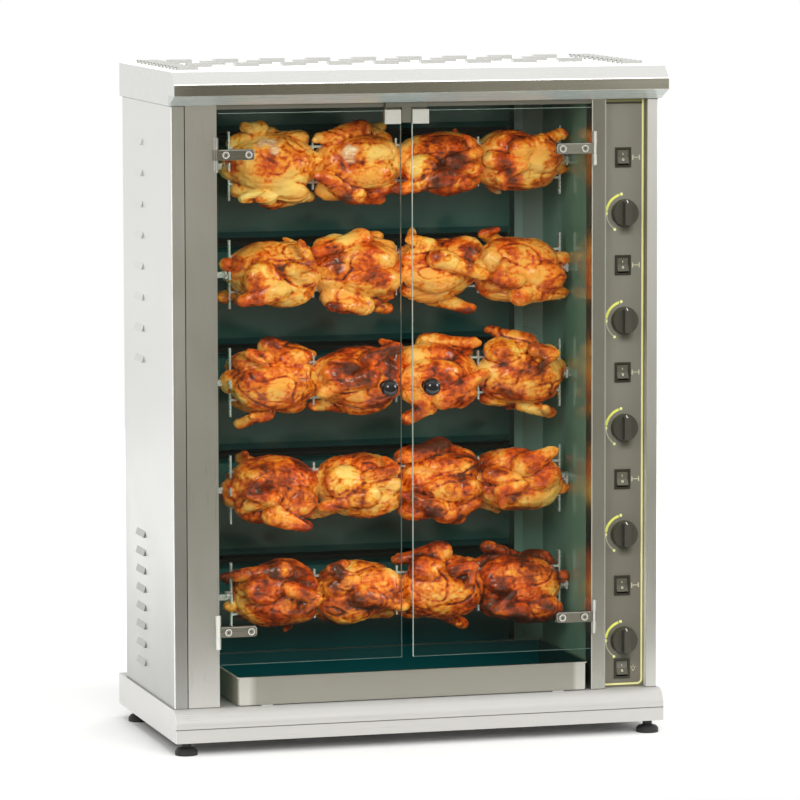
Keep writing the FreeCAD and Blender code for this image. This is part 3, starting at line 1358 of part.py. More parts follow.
def build_all():
    build_plinth()
    build_feet()
    build_side_panels()
    build_back_panel()
    build_cap()
    build_pillars()
    build_control_panel()
    build_header()
    build_linings()
    build_ceiling()
    build_burners()
    build_gas()
    build_gland()
    build_drives()
    for row in range(ROWS):
        build_spit(row)
        build_knob(row)
    build_switches()
    build_hinge_brackets()
    build_doors()
    build_catch()
    build_tray()


def check_and_export():
    """Stops on any failed object, then writes one file for each piece."""
    for obj in doc.Objects:
        if "Invalid" in obj.State or "Error" in obj.State:
            raise RuntimeError(f"{obj.Name} failed: {obj.State}")
    for obj in nodes:
        shape = obj.Shape
        if shape.isNull() or not shape.Solids or not shape.isValid():
            raise RuntimeError(f"{obj.Label} has no valid solid")
    os.makedirs("parts", exist_ok=True)
    for obj in nodes:
        obj.Shape.exportStep(f"parts/{obj.Label}.step")
        print(obj.Label, len(obj.Shape.Solids), "solids", round(obj.Shape.Volume), "mm3")


build_all()
doc.recompute()
check_and_export()
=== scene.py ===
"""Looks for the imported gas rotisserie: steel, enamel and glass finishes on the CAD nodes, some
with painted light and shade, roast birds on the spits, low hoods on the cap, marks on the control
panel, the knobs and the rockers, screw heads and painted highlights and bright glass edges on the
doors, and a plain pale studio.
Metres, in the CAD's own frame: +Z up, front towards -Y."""

import json
import math
import random

import bmesh
import bpy
import numpy as np
from mathutils import Matrix, Vector, noise


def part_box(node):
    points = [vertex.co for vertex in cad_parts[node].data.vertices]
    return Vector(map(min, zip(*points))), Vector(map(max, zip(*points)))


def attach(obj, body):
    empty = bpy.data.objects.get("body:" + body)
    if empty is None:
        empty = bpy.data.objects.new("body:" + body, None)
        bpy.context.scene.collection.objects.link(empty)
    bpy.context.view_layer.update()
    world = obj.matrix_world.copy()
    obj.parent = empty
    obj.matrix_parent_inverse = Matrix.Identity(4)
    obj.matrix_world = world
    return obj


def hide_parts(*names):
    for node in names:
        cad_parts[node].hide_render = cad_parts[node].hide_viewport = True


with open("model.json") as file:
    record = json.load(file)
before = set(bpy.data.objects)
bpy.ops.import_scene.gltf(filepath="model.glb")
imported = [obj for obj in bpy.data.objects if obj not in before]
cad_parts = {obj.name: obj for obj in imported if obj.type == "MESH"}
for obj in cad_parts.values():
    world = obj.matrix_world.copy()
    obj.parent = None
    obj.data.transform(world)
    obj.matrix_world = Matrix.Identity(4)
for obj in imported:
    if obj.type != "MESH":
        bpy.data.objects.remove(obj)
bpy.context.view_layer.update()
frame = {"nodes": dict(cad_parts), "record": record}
MM = 0.001
X, Y, Z = range(3)
ROWS = 5
ROCKERS = 6
FULL_TURN = 359.9  # degrees of a ring, whose two ends stay apart

# The camera, fitted to the photograph on the CAD's corners, with its lens in millimetres.
YAW = math.radians(15.652)
PITCH = math.radians(6.149)
ROLL = math.radians(-0.129)
DISTANCE = 8.911
LENS = 235.07
SENSOR = 36
FARTHEST = 60
AIM = Vector((0.019, 0.0, 0.5604))

# The lights: name, place, the point they face, size in metres, power in watts, and whether
# reflections show them.
LIGHTS = (
    ("key", (-2.6, -3.0, 2.3), (0, 0, 0.55), (1.6, 1.6), 64, True),
    ("side", (3.6, -1.9, 1.9), (0, 0, 0.6), (1.4, 1.6), 60, True),
    ("front", (0.4, -4.2, 2.1), (0, 0, 0.75), (2.6, 2.0), 150, False),
    ("top", (0.0, 0.3, 3.4), (0, 0.2, 0.0), (3.4, 3.4), 62, False),
)
FLOOR_RADIUS = 2.7
FLOOR_MIDDLE = (0, 1.9, 0)

# Measures in metres that several finishes share: the heights of the cap's flat sheet, of the dark
# joint under the cap, which carries painted shade from the cap's overhang, and of the dark joints
# over the plinth, how far a mask reaches past the face that it paints, and the depth of hair lines
# and grit.
CAP_TOP = 1.134
CAP_JOINT_SHADE = (1.0758, 1.08)
PLINTH_JOINT = (0.07, 0.0766)
PAST = 0.001
FINE_RELIEF = 0.0002

# The slits near the cap's ends, in metres: their number, the left edges of the two groups, the
# first one's front edge and their pitch, and their hoods' length, width, height, front slope and
# wall.
END_SLITS = 12
SLIT_GROUPS = {"left": -0.403, "right": 0.367}
SLIT_FRONT = -0.147
SLIT_PITCH = 0.026
HOOD_LENGTH = 0.036
HOOD_WIDTH = 0.009
HOOD_RISE = 0.0055
HOOD_SLOPE = 0.0015
HOOD_WALL = 0.001

# The control panel's front face and the thickness of a printed film, in metres.
PANEL_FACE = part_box("control_panel")[0].y
MARK_DEPTH = 0.0002

# The panel's marks, in millimetres and degrees: the outline's left, right, low and high, its width
# and corner; how far the edges of the dark joint line with painted shade from the cap lie under its
# top line; each arc's inner and outer radius, start and end; each dot's angle, reach and radius;
# and the pictures' middles.
OUTLINE = (329.6, 400.0, 79.2, 1075.6)
OUTLINE_WIDTH = 3.2
OUTLINE_CORNER = 9.0
TOP_SEAM_SHADE = (4.2, 0.6)
ARC = (30.0, 34.2, 107, 172)
THIN_ARC = (31.4, 32.6, 186, 233)
DOTS = ((100, 32.5, 2.6), (180, 32.8, 3.4), (238, 32.5, 2.4))
SPIT_ICON_X = 386.5
LAMP_ICON_X = 383.5

# The tick on a knob's grip, in millimetres and degrees: its place beside the grip's middle and
# under its top, and its length, width and slant.
TICK_INSET = 2.6
TICK = (5.6, 1.5, -28)

# The doors' hinge plates, in millimetres: where each side's begin and which way they reach, their
# heights and size, how far the inner and outer lines of the painted highlight on the bevel lie from
# the edge, and the reach of the screws, with their heads' radius, the radii of the painted
# highlight on their rims, and the length and width of a bar of the painted shade in their cross
# recesses.
HINGE_SIDES = {"left": (-344.0, 1), "right": (304.0, -1)}
HINGE_HEIGHTS = (202.0, 995.5)
LEAF_START = 3.0
LEAF_LENGTH = 63.0
LEAF_HALF = 8.75
LEAF_THICKNESS = 2.0
BEVEL_INNER = 1.4
BEVEL_OUTER = 0.1
SCREW_REACHES = (14.0, 53.0)
SCREW_HEAD = 4.5
SCREW_RIM = (4.3, 5.9)
SCREW_CROSS = (5.4, 1.2)

# The rolled lips of the burner slots, in millimetres: their feet over the spits, and their height.
LIP_HEIGHTS = (32.6, 49.2)
LIP_HEIGHT = 1.2

# The birds: the seed of their shapes, how brown each row is from the top, and the share with torn
# skin. In metres: the skin's usual reach from the spit, its limits beside the lamp and elsewhere,
# the stretch before a limit, and the skin's swell, lumps, folds, tucks and pimples.
SEED = 20
BIRDS_IN_ROW = 4
BROWNING = (0.27, 0.42, 0.39, 0.52, 0.70)
TORN_SHARE = 0.3
GIRTH = 0.076
NEAR_LAMP = 0.0755
BETWEEN_ROWS = 0.087
SOFT_LIMIT = 0.006
SWELL = 0.0016
LUMP = 0.0032
FOLD = 0.0026
TUCK = 0.0012
PIMPLE = 0.0008

# The skin's colours from pale to charred, where it is golden and where it is red, and torn meat.
GOLDEN = (
    (0.00, (0.96, 0.64, 0.19)),
    (0.20, (0.94, 0.43, 0.050)),
    (0.44, (0.78, 0.19, 0.008)),
    (0.66, (0.44, 0.066, 0.005)),
    (0.85, (0.21, 0.032, 0.004)),
    (1.00, (0.085, 0.016, 0.004)),
)
RED = (
    (0.00, (0.94, 0.40, 0.07)),
    (0.20, (0.88, 0.20, 0.012)),
    (0.44, (0.66, 0.078, 0.004)),
    (0.66, (0.34, 0.036, 0.004)),
    (0.85, (0.17, 0.021, 0.004)),
    (1.00, (0.075, 0.013, 0.004)),
)
MEAT = ((0.34, (0.46, 0.12, 0.05)), (0.47, (0.80, 0.42, 0.25)), (0.62, (0.93, 0.72, 0.50)))


def look(name, color, rough, metal=0.0, **sockets):
    """A material, its node tree and its shader."""
    material = bpy.data.materials.new(name)
    material.use_nodes = True
    tree = material.node_tree
    shader = tree.nodes["Principled BSDF"]
    shader.inputs["Base Color"].default_value = (*color, 1)
    shader.inputs["Roughness"].default_value = rough
    shader.inputs["Metallic"].default_value = metal
    for socket, value in sockets.items():
        shader.inputs[socket.replace("_", " ")].default_value = value
    return material, tree, shader


def grain(tree, scale, stretch=(1, 1, 1), detail=4.0, rough=0.55):
    """Noise in the object's own space, stretched along an axis by a small factor."""
    coords = tree.nodes.new("ShaderNodeTexCoord")
    mapping = tree.nodes.new("ShaderNodeMapping")
    mapping.inputs["Scale"].default_value = stretch
    texture = tree.nodes.new("ShaderNodeTexNoise")
    texture.inputs["Scale"].default_value = scale
    texture.inputs["Detail"].default_value = detail
    texture.inputs["Roughness"].default_value = rough
    tree.links.new(coords.outputs["Object"], mapping.inputs["Vector"])
    tree.links.new(mapping.outputs["Vector"], texture.inputs["Vector"])
    return texture.outputs["Fac"]


def ramp(tree, value, stops):
    """A colour ramp over a value, from (place, colour) stops."""
    node = tree.nodes.new("ShaderNodeValToRGB")
    elements = node.color_ramp.elements
    while len(elements) < len(stops):
        elements.new(0.5)
    for element, (place, color) in zip(elements, stops):
        element.position = place
        element.color = (*color, 1)
    tree.links.new(value, node.inputs["Fac"])
    return node.outputs["Color"]


def span(tree, value, low, high, from_low=0.3, from_high=0.7):
    """A value mapped to a range."""
    node = tree.nodes.new("ShaderNodeMapRange")
    node.inputs["From Min"].default_value = from_low
    node.inputs["From Max"].default_value = from_high
    node.inputs["To Min"].default_value = low
    node.inputs["To Max"].default_value = high
    tree.links.new(value, node.inputs["Value"])
    return node.outputs["Result"]


def maths(tree, operation, a, b):
    """Two values or numbers joined by an operation."""
    node = tree.nodes.new("ShaderNodeMath")
    node.operation = operation
    for i, value in enumerate((a, b)):
        if isinstance(value, (int, float)):
            node.inputs[i].default_value = value
        else:
            tree.links.new(value, node.inputs[i])
    return node.outputs["Value"]


def times(tree, first, *others):
    """The product of values or numbers."""
    for other in others:
        first = maths(tree, "MULTIPLY", first, other)
    return first


def bump(tree, shader, height, strength, distance):
    """Fine relief from a height."""
    node = tree.nodes.new("ShaderNodeBump")
    node.inputs["Strength"].default_value = strength
    node.inputs["Distance"].default_value = distance
    tree.links.new(height, node.inputs["Height"])
    tree.links.new(node.outputs["Normal"], shader.inputs["Normal"])


def shade(color, factor):
    """A colour made brighter or darker, up to white."""
    return tuple(min(1.0, c * factor) for c in color)


def blend_colors(tree, factor, first, second):
    """Two colours mixed by a factor, through the mix node's sockets for colours."""
    one, two, result = 6, 7, 2
    node = tree.nodes.new("ShaderNodeMix")
    node.data_type = "RGBA"
    tree.links.new(factor, node.inputs["Factor"])
    for socket, color in ((one, first), (two, second)):
        if isinstance(color, tuple):
            node.inputs[socket].default_value = (*color, 1)
        else:
            tree.links.new(color, node.inputs[socket])
    return node.outputs[result]


def own_space(tree):
    """The object's own coordinates in metres, as three values."""
    coords = tree.nodes.new("ShaderNodeTexCoord")
    split = tree.nodes.new("ShaderNodeSeparateXYZ")
    tree.links.new(coords.outputs["Object"], split.inputs["Vector"])
    return split.outputs


def where(tree, *limits):
    """1 inside a box of the object's own space, from (axis, low, high) limits, else 0."""
    place = own_space(tree)
    inside = 1.0
    for axis, low, high in limits:
        inside = times(tree, inside, maths(tree, "GREATER_THAN", place[axis], low),
                       maths(tree, "LESS_THAN", place[axis], high))
    return inside


def along(tree, axis, low, high):
    """0 to 1 along an axis of the object's own space, from one place to another."""
    return span(tree, own_space(tree)[axis], 0.0, 1.0, low, high)


def repaint(material, mask, color, **sockets):
    """Changes a finish where a mask is on: its colour, and other sockets by name."""
    tree = material.node_tree
    inputs = tree.nodes["Principled BSDF"].inputs
    base = inputs["Base Color"]
    tree.links.new(blend_colors(tree, mask, base.links[0].from_socket, color), base)
    for name, value in sockets.items():
        socket = inputs[name]
        low = socket.links[0].from_socket if socket.is_linked else socket.default_value
        change = maths(tree, "SUBTRACT", value, low)
        tree.links.new(maths(tree, "ADD", low, times(tree, change, mask)), socket)


def brushed(name, color, rough, stretch, metal, spread, relief=0.12):
    """Brushed sheet: hair lines along one axis, over faint broad clouds."""
    material, tree, shader = look(name, color, rough, metal)
    hair = grain(tree, 900, stretch, 3.0, 0.7)
    cloud = grain(tree, 7, (1, 1, 1), 3.0)
    mixed = maths(tree, "ADD", times(tree, hair, 0.6), times(tree, cloud, 0.4))
    tones = ramp(tree, mixed, ((0.32, shade(color, 1 - spread)), (0.68, shade(color, 1 + spread))))
    tree.links.new(tones, shader.inputs["Base Color"])
    tree.links.new(span(tree, mixed, rough - 0.07, rough + 0.09), shader.inputs["Roughness"])
    bump(tree, shader, hair, relief, FINE_RELIEF)
    return material


def speckled(name, color, rough, scale, spread, metal=0.0, **sockets):
    """Paint, plastic or plain metal with a fine tooth and faint blotches."""
    material, tree, shader = look(name, color, rough, metal, **sockets)
    tooth = grain(tree, scale, (1, 1, 1), 2.0)
    cloud = grain(tree, 12, (1, 1, 1), 3.0)
    tones = ramp(tree, cloud, ((0.3, shade(color, 1 - spread)), (0.7, shade(color, 1 + spread))))
    tree.links.new(tones, shader.inputs["Base Color"])
    tree.links.new(span(tree, tooth, rough - 0.05, rough + 0.08), shader.inputs["Roughness"])
    bump(tree, shader, tooth, 0.1, FINE_RELIEF)
    return material


def enamel(name, deep, pale, ior, rough):
    """Teal vitreous enamel from a deep to a pale tone, under a greasy film."""
    material, tree, shader = look(name, deep, rough)
    shader.inputs["IOR"].default_value = ior
    film = grain(tree, 5, (1, 1, 0.35), 5.0)
    orange_peel = grain(tree, 60, (1, 1, 1), 2.0)
    tree.links.new(ramp(tree, film, ((0.35, deep), (0.7, pale))), shader.inputs["Base Color"])
    tree.links.new(span(tree, film, rough * 0.7, rough * 1.5), shader.inputs["Roughness"])
    bump(tree, shader, orange_peel, 0.05, 0.0010)
    return material


def pane(name, tint, strength, rough=0.015):
    """Clear glass: what lies behind it under its faces' reflection, with a faint greasy film."""
    material, tree, shader = look(name, (0.75, 0.80, 0.78), rough, 1.0)
    clear = tree.nodes.new("ShaderNodeBsdfTransparent")
    clear.inputs["Color"].default_value = (*tint, 1)
    smear = grain(tree, 4, (1, 1, 0.5), 4.0)
    tree.links.new(span(tree, smear, rough * 0.6, rough * 1.8), shader.inputs["Roughness"])
    facing = tree.nodes.new("ShaderNodeFresnel")
    facing.inputs["IOR"].default_value = 1.5
    mix = tree.nodes.new("ShaderNodeMixShader")
    tree.links.new(times(tree, facing.outputs["Fac"], strength), mix.inputs["Fac"])
    tree.links.new(clear.outputs["BSDF"], mix.inputs[1])
    tree.links.new(shader.outputs["BSDF"], mix.inputs[2])
    tree.links.new(mix.outputs["Shader"], tree.nodes["Material Output"].inputs["Surface"])
    return material


def carried(tree, name):
    """A value that the mesh carries at each vertex."""
    node = tree.nodes.new("ShaderNodeAttribute")
    node.attribute_name = name
    return node.outputs["Fac"]


def skin():
    """Roast skin: cream to gold or red to brown by the tone that the mesh carries, which holds how
    brown it is and painted shade darkening its creases and folds, mottled, puckered and oily, with
    pale meat where it has torn."""
    material, tree, shader = look(
        "roast_skin", (0.6, 0.25, 0.05), 0.4, Specular_IOR_Level=0.3,
        Coat_Weight=0.75, Coat_IOR=1.5, Coat_Roughness=0.10, Coat_Tint=(1.0, 0.88, 0.68, 1.0),
        Subsurface_Weight=0.05, Subsurface_Scale=0.004)
    patches = grain(tree, 24, (1, 1, 1), 6.0, 0.65)
    freckles = grain(tree, 120, (1, 1, 1), 5.0, 0.7)
    veins = grain(tree, 75, (0.6, 1, 1), 5.0, 0.6)
    off_vein = maths(tree, "ABSOLUTE", maths(tree, "SUBTRACT", veins, 0.5), 0.0)
    net = span(tree, off_vein, 0.11, 0.0, 0.0, 0.020)
    tone = carried(tree, "browning_and_shade")
    for part in (span(tree, patches, -0.42, 0.42, 0.36, 0.64),
                 span(tree, freckles, -0.07, 0.07, 0.35, 0.65), net):
        tone = maths(tree, "ADD", tone, part)
    color = blend_colors(tree, carried(tree, "redness"), ramp(tree, tone, GOLDEN),
                         ramp(tree, tone, RED))
    meat = ramp(tree, grain(tree, 110, (0.3, 1, 1), 4.0, 0.75), MEAT)
    color = blend_colors(tree, carried(tree, "torn"), color, meat)
    tree.links.new(color, shader.inputs["Base Color"])
    tree.links.new(span(tree, freckles, 0.24, 0.52), shader.inputs["Roughness"])
    wrinkles = grain(tree, 190, (0.5, 1, 1), 4.0, 0.6)
    relief = maths(tree, "ADD", wrinkles, times(tree, patches, 1.2))
    relief = maths(tree, "SUBTRACT", relief, times(tree, net, 1.5))
    bump(tree, shader, relief, 0.8, 0.0016)
    return material


def finishes():
    """Every finish, by the record's material slot or a name of its own."""
    upright = (1, 1, 0.006)
    across = (0.006, 1, 1)
    sheet = (0.80, 0.80, 0.785)
    looks = {
        "casing": brushed("casing_steel", sheet, 0.34, upright, 1.0, 0.02, 0.04),
        "right_casing": brushed("right_casing_steel", sheet, 0.34, upright, 1.0, 0.02, 0.04),
        "cap": brushed("cap_steel", (0.76, 0.76, 0.745), 0.26, across, 0.85, 0.02, 0.04),
        "plinth": brushed("plinth_steel", (0.43, 0.425, 0.41), 0.32, across, 0.2, 0.02, 0.04),
        "pillar": brushed("pillar_steel", (0.72, 0.715, 0.69), 0.32, upright, 1.0, 0.02, 0.05),
        # The right pillar's steel is a darker copy of the pillar steel: painted shade.
        "right_pillar": brushed("right_pillar_steel", (0.52, 0.515, 0.47), 0.32, upright, 1.0, 0.02,
                                0.05),
        "across": brushed("inner_steel", (0.70, 0.695, 0.67), 0.30, across, 1.0, 0.05),
        "header": brushed("header_steel", (0.30, 0.295, 0.26), 0.34, across, 0.9, 0.05),
        "tray": brushed("tray_steel", (0.43, 0.42, 0.37), 0.34, across, 1.0, 0.05),
        "panel": brushed("panel_steel", (0.190, 0.184, 0.152), 0.34, upright, 0.3, 0.03, 0.05),
        "enamel": enamel("enamel", (0.003, 0.032, 0.030), (0.010, 0.052, 0.046), 1.6, 0.10),
        "back": enamel("back_enamel", (0.012, 0.066, 0.058), (0.060, 0.125, 0.100), 1.8, 0.14),
        "lining": enamel("lining_enamel", (0.156, 0.305, 0.222), (0.230, 0.390, 0.285), 2.2, 0.12),
        "soot": speckled("sooty_steel", (0.020, 0.017, 0.014), 0.6, 200, 0.2),
        "zinc": speckled("zinc_pipe", (0.50, 0.51, 0.52), 0.45, 200, 0.12, 0.8),
        "brass": speckled("valve_brass", (0.62, 0.43, 0.18), 0.32, 300, 0.12, 1.0),
        "bush": speckled("bush_brass", (0.80, 0.61, 0.28), 0.34, 300, 0.12, 0.35),
        "black": speckled("black_plastic", (0.040, 0.038, 0.028), 0.42, 600, 0.1),
        "rocker": speckled("rocker_plastic", (0.075, 0.070, 0.052), 0.12, 160, 0.25,
                           Coat_Weight=0.8),
        "catch": speckled("catch_plastic", (0.085, 0.081, 0.060), 0.45, 400, 0.1),
        "hinge": brushed("hinge_metal", (0.56, 0.555, 0.52), 0.30, upright, 0.9, 0.03, 0.04),
        "leaf": brushed("hinge_leaf", (0.36, 0.345, 0.30), 0.30, across, 1.0, 0.05, 0.06),
        "clip": brushed("clip_steel", (0.62, 0.615, 0.57), 0.32, across, 0.6, 0.04, 0.05),
        "motor": speckled("motor_case", (0.05, 0.05, 0.055), 0.4, 250, 0.15, 0.3),
        "chrome": speckled("spit_chrome", (0.84, 0.83, 0.79), 0.24, 90, 0.15, 0.7),
        "pane": pane("door_pane", (0.95, 0.985, 0.975), 0.3),
        "lamp": pane("lamp_glass", (0.95, 0.93, 0.86), 2.5, 0.08),
        "ball": speckled("knob_ball", (0.006, 0.006, 0.007), 0.10, 200, 0.1, Coat_Weight=0.5),
        "rubber": speckled("foot_rubber", (0.012, 0.012, 0.012), 0.5, 300, 0.15),
        "skin": skin(),
        "yellow": speckled("mark_yellow", (0.63, 0.60, 0.26), 0.5, 700, 0.06),
        # The outline's yellow print in painted shade under the cap, for its top line.
        "olive": speckled("mark_olive", (0.19, 0.18, 0.055), 0.5, 700, 0.06),
        "lemon": speckled("mark_lemon", (0.58, 0.59, 0.11), 0.5, 700, 0.06),
        "dots": speckled("mark_dots", (0.62, 0.63, 0.26), 0.5, 700, 0.05),
        "grey": speckled("mark_grey", (0.42, 0.42, 0.30), 0.5, 700, 0.05),
        # Dark for the joint line under the outline's top, with painted shade from the cap.
        "seam": speckled("dark_seam", (0.030, 0.027, 0.015), 0.6, 500, 0.1),
        "bezel": speckled("bezel_plastic", (0.020, 0.018, 0.011), 0.35, 600, 0.1),
        "cream": speckled("mark_cream", (0.42, 0.40, 0.29), 0.5, 700, 0.05),
        "white": speckled("mark_white", (0.55, 0.55, 0.50), 0.45, 700, 0.04),
        # Bright steel for the painted highlights on the screws' rims, and for the slots' rolled
        # lips.
        "rim": speckled("screw_rim", (0.62, 0.61, 0.57), 0.3, 500, 0.06, 0.3),
        # Steel for the painted highlight on the hinge leaves' bevels.
        "bevel": speckled("bevel_steel", (0.34, 0.335, 0.30), 0.35, 500, 0.06, 0.4),
        "head": speckled("screw_head", (0.30, 0.285, 0.25), 0.3, 500, 0.06, 0.6),
        # Dark for the painted shade in the screws' cross recesses.
        "recess": speckled("screw_recess", (0.05, 0.05, 0.05), 0.5, 500, 0.1, 0.5),
        "edge": speckled("glass_edge", (0.48, 0.58, 0.53), 0.15, 40, 0.12),
        "pale": speckled("glass_edge_pale", (0.24, 0.32, 0.28), 0.15, 40, 0.12),
        "faint": speckled("glass_edge_faint", (0.10, 0.145, 0.13), 0.15, 40, 0.12),
    }
    vary_cap(looks["cap"])
    vary_plinth(looks["plinth"])
    vary_casings(looks["casing"], looks["right_casing"])
    vary_oven(looks["back"], looks["lining"])
    vary_tray(looks["tray"])
    vary_panel(looks["panel"])
    vary_pillars(looks["pillar"], looks["right_pillar"])
    vary_hinges(looks["hinge"], looks["leaf"])
    return looks


def vary_cap(cap):
    """The cap's nose: its upright band carries a painted reflection of the dark room, dark over
    most of its length and brightening towards the right, its underside carries painted shade,
    duller and tinted blue-green, its flat top sheet is painted near white as lit from above, and
    its top edge carries a painted highlight as bright as that sheet."""
    low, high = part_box("top_cap")
    tree = cap.node_tree
    across = along(tree, X, low.x, high.x)
    # Painted reflection of the dark room on the upright band, brightening towards the right.
    band = where(tree, (Y, low.y - PAST, low.y + 0.0006))
    room = ramp(tree, across, ((0.0, (0.50, 0.49, 0.44)), (0.04, (0.37, 0.36, 0.315)),
                               (0.5, (0.47, 0.46, 0.41)), (1.0, (0.84, 0.83, 0.77))))
    repaint(cap, band, room, Metallic=1.0)
    # Painted shade on the underside: darker, less metallic and tinted blue-green.
    under = where(tree, (Y, low.y + 0.0006, low.y + 0.045), (Z, low.z + 0.0005, low.z + 0.0175))
    shadow = ramp(tree, across, ((0.0, (0.53, 0.58, 0.57)), (0.2, (0.55, 0.65, 0.66)),
                                 (0.8, (0.56, 0.65, 0.65)), (1.0, (0.58, 0.62, 0.60))))
    repaint(cap, under, shadow, Metallic=0.15)
    # Painted light: the flat top sheet near white, as lit from above.
    sheet = where(tree, (Z, CAP_TOP - 0.0004, CAP_TOP + 0.0004))
    repaint(cap, sheet, (0.97, 0.97, 0.965), Metallic=0.1)
    # A painted highlight along the nose's top edge.
    edge = where(tree, (Y, low.y - PAST, low.y + 0.0012), (Z, low.z + 0.0353, low.z + 0.0375))
    repaint(cap, edge, (0.97, 0.97, 0.95), Metallic=0.1)


def vary_plinth(plinth):
    """The plinth's ends with painted light, brighter than its front, and the dark joint between its
    two folds.
    """
    low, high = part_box("base_plinth")
    tree = plinth.node_tree
    # Painted light on the plinth's two ends.
    for near, far in ((low.x - PAST, low.x + 0.0004), (high.x - 0.0004, high.x + PAST)):
        repaint(plinth, where(tree, (X, near, far)), (0.66, 0.655, 0.64))
    joint = where(tree, (Y, low.y - PAST, low.y + 0.0030), (Z, 0.0438, 0.0454))
    repaint(plinth, joint, (0.13, 0.125, 0.115), Metallic=0.2)


def vary_casings(left, right):
    """Painted shade darkening the feet, painted highlights on the folded edges, dark joints under
    the cap, which carry painted shade from its overhang, and over the plinth, and on the right a
    return painted brighter towards its top as lit from above, with painted shade on the recess's
    side by the panel."""
    front = -0.182
    tree = right.node_tree
    # Painted light: the right return grows brighter towards its top.
    face = where(tree, (X, 0.3, 0.4235), (Y, front, -0.1806))
    repaint(right, times(tree, face, along(tree, Z, 0.45, 1.05)), (0.80, 0.79, 0.78), Metallic=0.72)
    # Painted shade on the side of the panel's recess.
    joint = where(tree, (X, 0.4, 0.4026), (Y, -0.1805, -0.16))
    repaint(right, joint, (0.18, 0.165, 0.10), Metallic=0.2)
    for casing, edge, dull in ((left, -0.421, 0.45), (right, 0.421, 0.74)):
        tree = casing.node_tree
        # Painted shade: darker towards the foot.
        repaint(casing, along(tree, Z, 0.75, 0.20), (dull, dull, dull * 0.975))
        # A painted highlight along the folded edge.
        fold = where(tree, (X, edge - 0.0012, edge + 0.0012), (Y, front, -0.1790))
        repaint(casing, fold, (0.90, 0.90, 0.88), Metallic=0.3)
        # Under the cap a joint with painted shade from the overhang; over the plinth a dark joint.
        for joint in (CAP_JOINT_SHADE, PLINTH_JOINT):
            repaint(casing, where(tree, (Z, *joint)), (0.12, 0.115, 0.105), Metallic=0.2)


def vary_oven(back, lining):
    """A teal foot and a dark band on the back wall, and beside it the slanted corner, which catches
    the light."""
    tree = back.node_tree
    repaint(back, along(tree, Z, 0.30, 0.17), (0.001, 0.080, 0.082))
    repaint(back, where(tree, (X, 0.252, 0.266)), (0.002, 0.012, 0.012))
    tree = lining.node_tree
    corner = where(tree, (X, 0.2, 0.3035), (Y, 0.0975, 0.2))
    rise = span(tree, along(tree, Z, 0.0, 1.1), 0.35, 1.0, 0.3, 0.75)
    repaint(lining, times(tree, corner, rise), (0.19, 0.245, 0.215), Roughness=0.32)


def vary_tray(tray):
    """Painted highlights on the ends of the tray's front, painted shade on its dull left side, and
    dark greasy enamel inside.
    """
    low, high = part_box("drip_tray")
    tree = tray.node_tree
    front = where(tree, (Y, low.y - PAST, low.y + 0.0036))
    # Painted highlights on the front's two ends.
    left = times(tree, front, along(tree, X, low.x + 0.036, low.x + 0.022))
    repaint(tray, left, (0.76, 0.75, 0.70))
    right = times(tree, front, along(tree, X, high.x - 0.028, high.x - 0.020))
    repaint(tray, right, (0.70, 0.69, 0.64))
    # Painted shade on the left side.
    side = where(tree, (X, low.x - PAST, low.x + 0.0046), (Y, low.y + 0.0036, high.y))
    repaint(tray, side, (0.36, 0.34, 0.28), Metallic=0.3)
    inside = where(tree, (X, low.x + 0.0047, high.x - 0.0045),
                   (Y, low.y + 0.0042, high.y - 0.0042), (Z, low.z + 0.001, high.z - 0.0016))
    repaint(tray, inside, (0.004, 0.052, 0.054), Metallic=0.0, Roughness=0.10)


def vary_panel(panel):
    """The panel darkens a little towards its foot, as painted shade, and has a painted shadow under
    each knob's grip.
    """
    tree = panel.node_tree
    # Painted shade towards the foot.
    repaint(panel, along(tree, Z, 0.60, 0.10), (0.142, 0.132, 0.102))
    for row in range(1, ROWS + 1):
        x, z = (middle(f"burner_knob_{row}") * MM).xz
        # A painted shadow of the knob's grip, tapering away below it.
        below = times(tree, along(tree, X, x - 0.014, x - 0.002),
                      along(tree, X, x + 0.018, x + 0.006),
                      along(tree, Z, z - 0.040, z - 0.029), where(tree, (Z, z - 0.05, z)))
        repaint(panel, below, (0.070, 0.065, 0.048))


def vary_pillars(left, right):
    """The left pillar's top painted brighter as lit from above, painted highlights on the folded
    edges of the narrow right one, and their dark joints with the plinth."""
    # Painted light on the left pillar's top.
    repaint(left, along(left.node_tree, Z, 0.70, 1.06), (0.86, 0.855, 0.83))
    low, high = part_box("right_front_pillar")
    # Painted highlights on the right pillar's two folded edges.
    for near, far, color in ((low.x - PAST, low.x + 0.0016, (0.46, 0.455, 0.41)),
                             (high.x - 0.0022, high.x + PAST, (0.31, 0.305, 0.27))):
        fold = where(right.node_tree, (X, near, far), (Y, low.y - PAST, low.y + 0.0010))
        repaint(right, fold, color, Metallic=0.4)
    for pillar in (left, right):
        joint = where(pillar.node_tree, (Z, 0.0, PLINTH_JOINT[1]))
        repaint(pillar, joint, (0.10, 0.095, 0.085), Metallic=0.2)


def vary_hinges(bracket, leaf):
    """The light runs down the right hinges' barrels, over the lower left one and over the upper
    right plate."""
    for finish in (bracket, leaf):
        tree = finish.node_tree
        right_barrels = where(tree, (X, 0.3052, 0.3088), (Y, -0.2, -0.1865))
        repaint(finish, right_barrels, (0.50, 0.495, 0.46), Metallic=0.2)
        left_barrel = where(tree, (X, -0.3535, -0.3440), (Y, -0.2, -0.1840), (Z, 0.1, 0.3))
        repaint(finish, left_barrel, (0.62, 0.62, 0.58), Metallic=0.2)
    upper_plate = where(leaf.node_tree, (X, 0.236, 0.3045), (Z, 0.9, 1.1))
    repaint(leaf, upper_plate, (0.62, 0.61, 0.58))


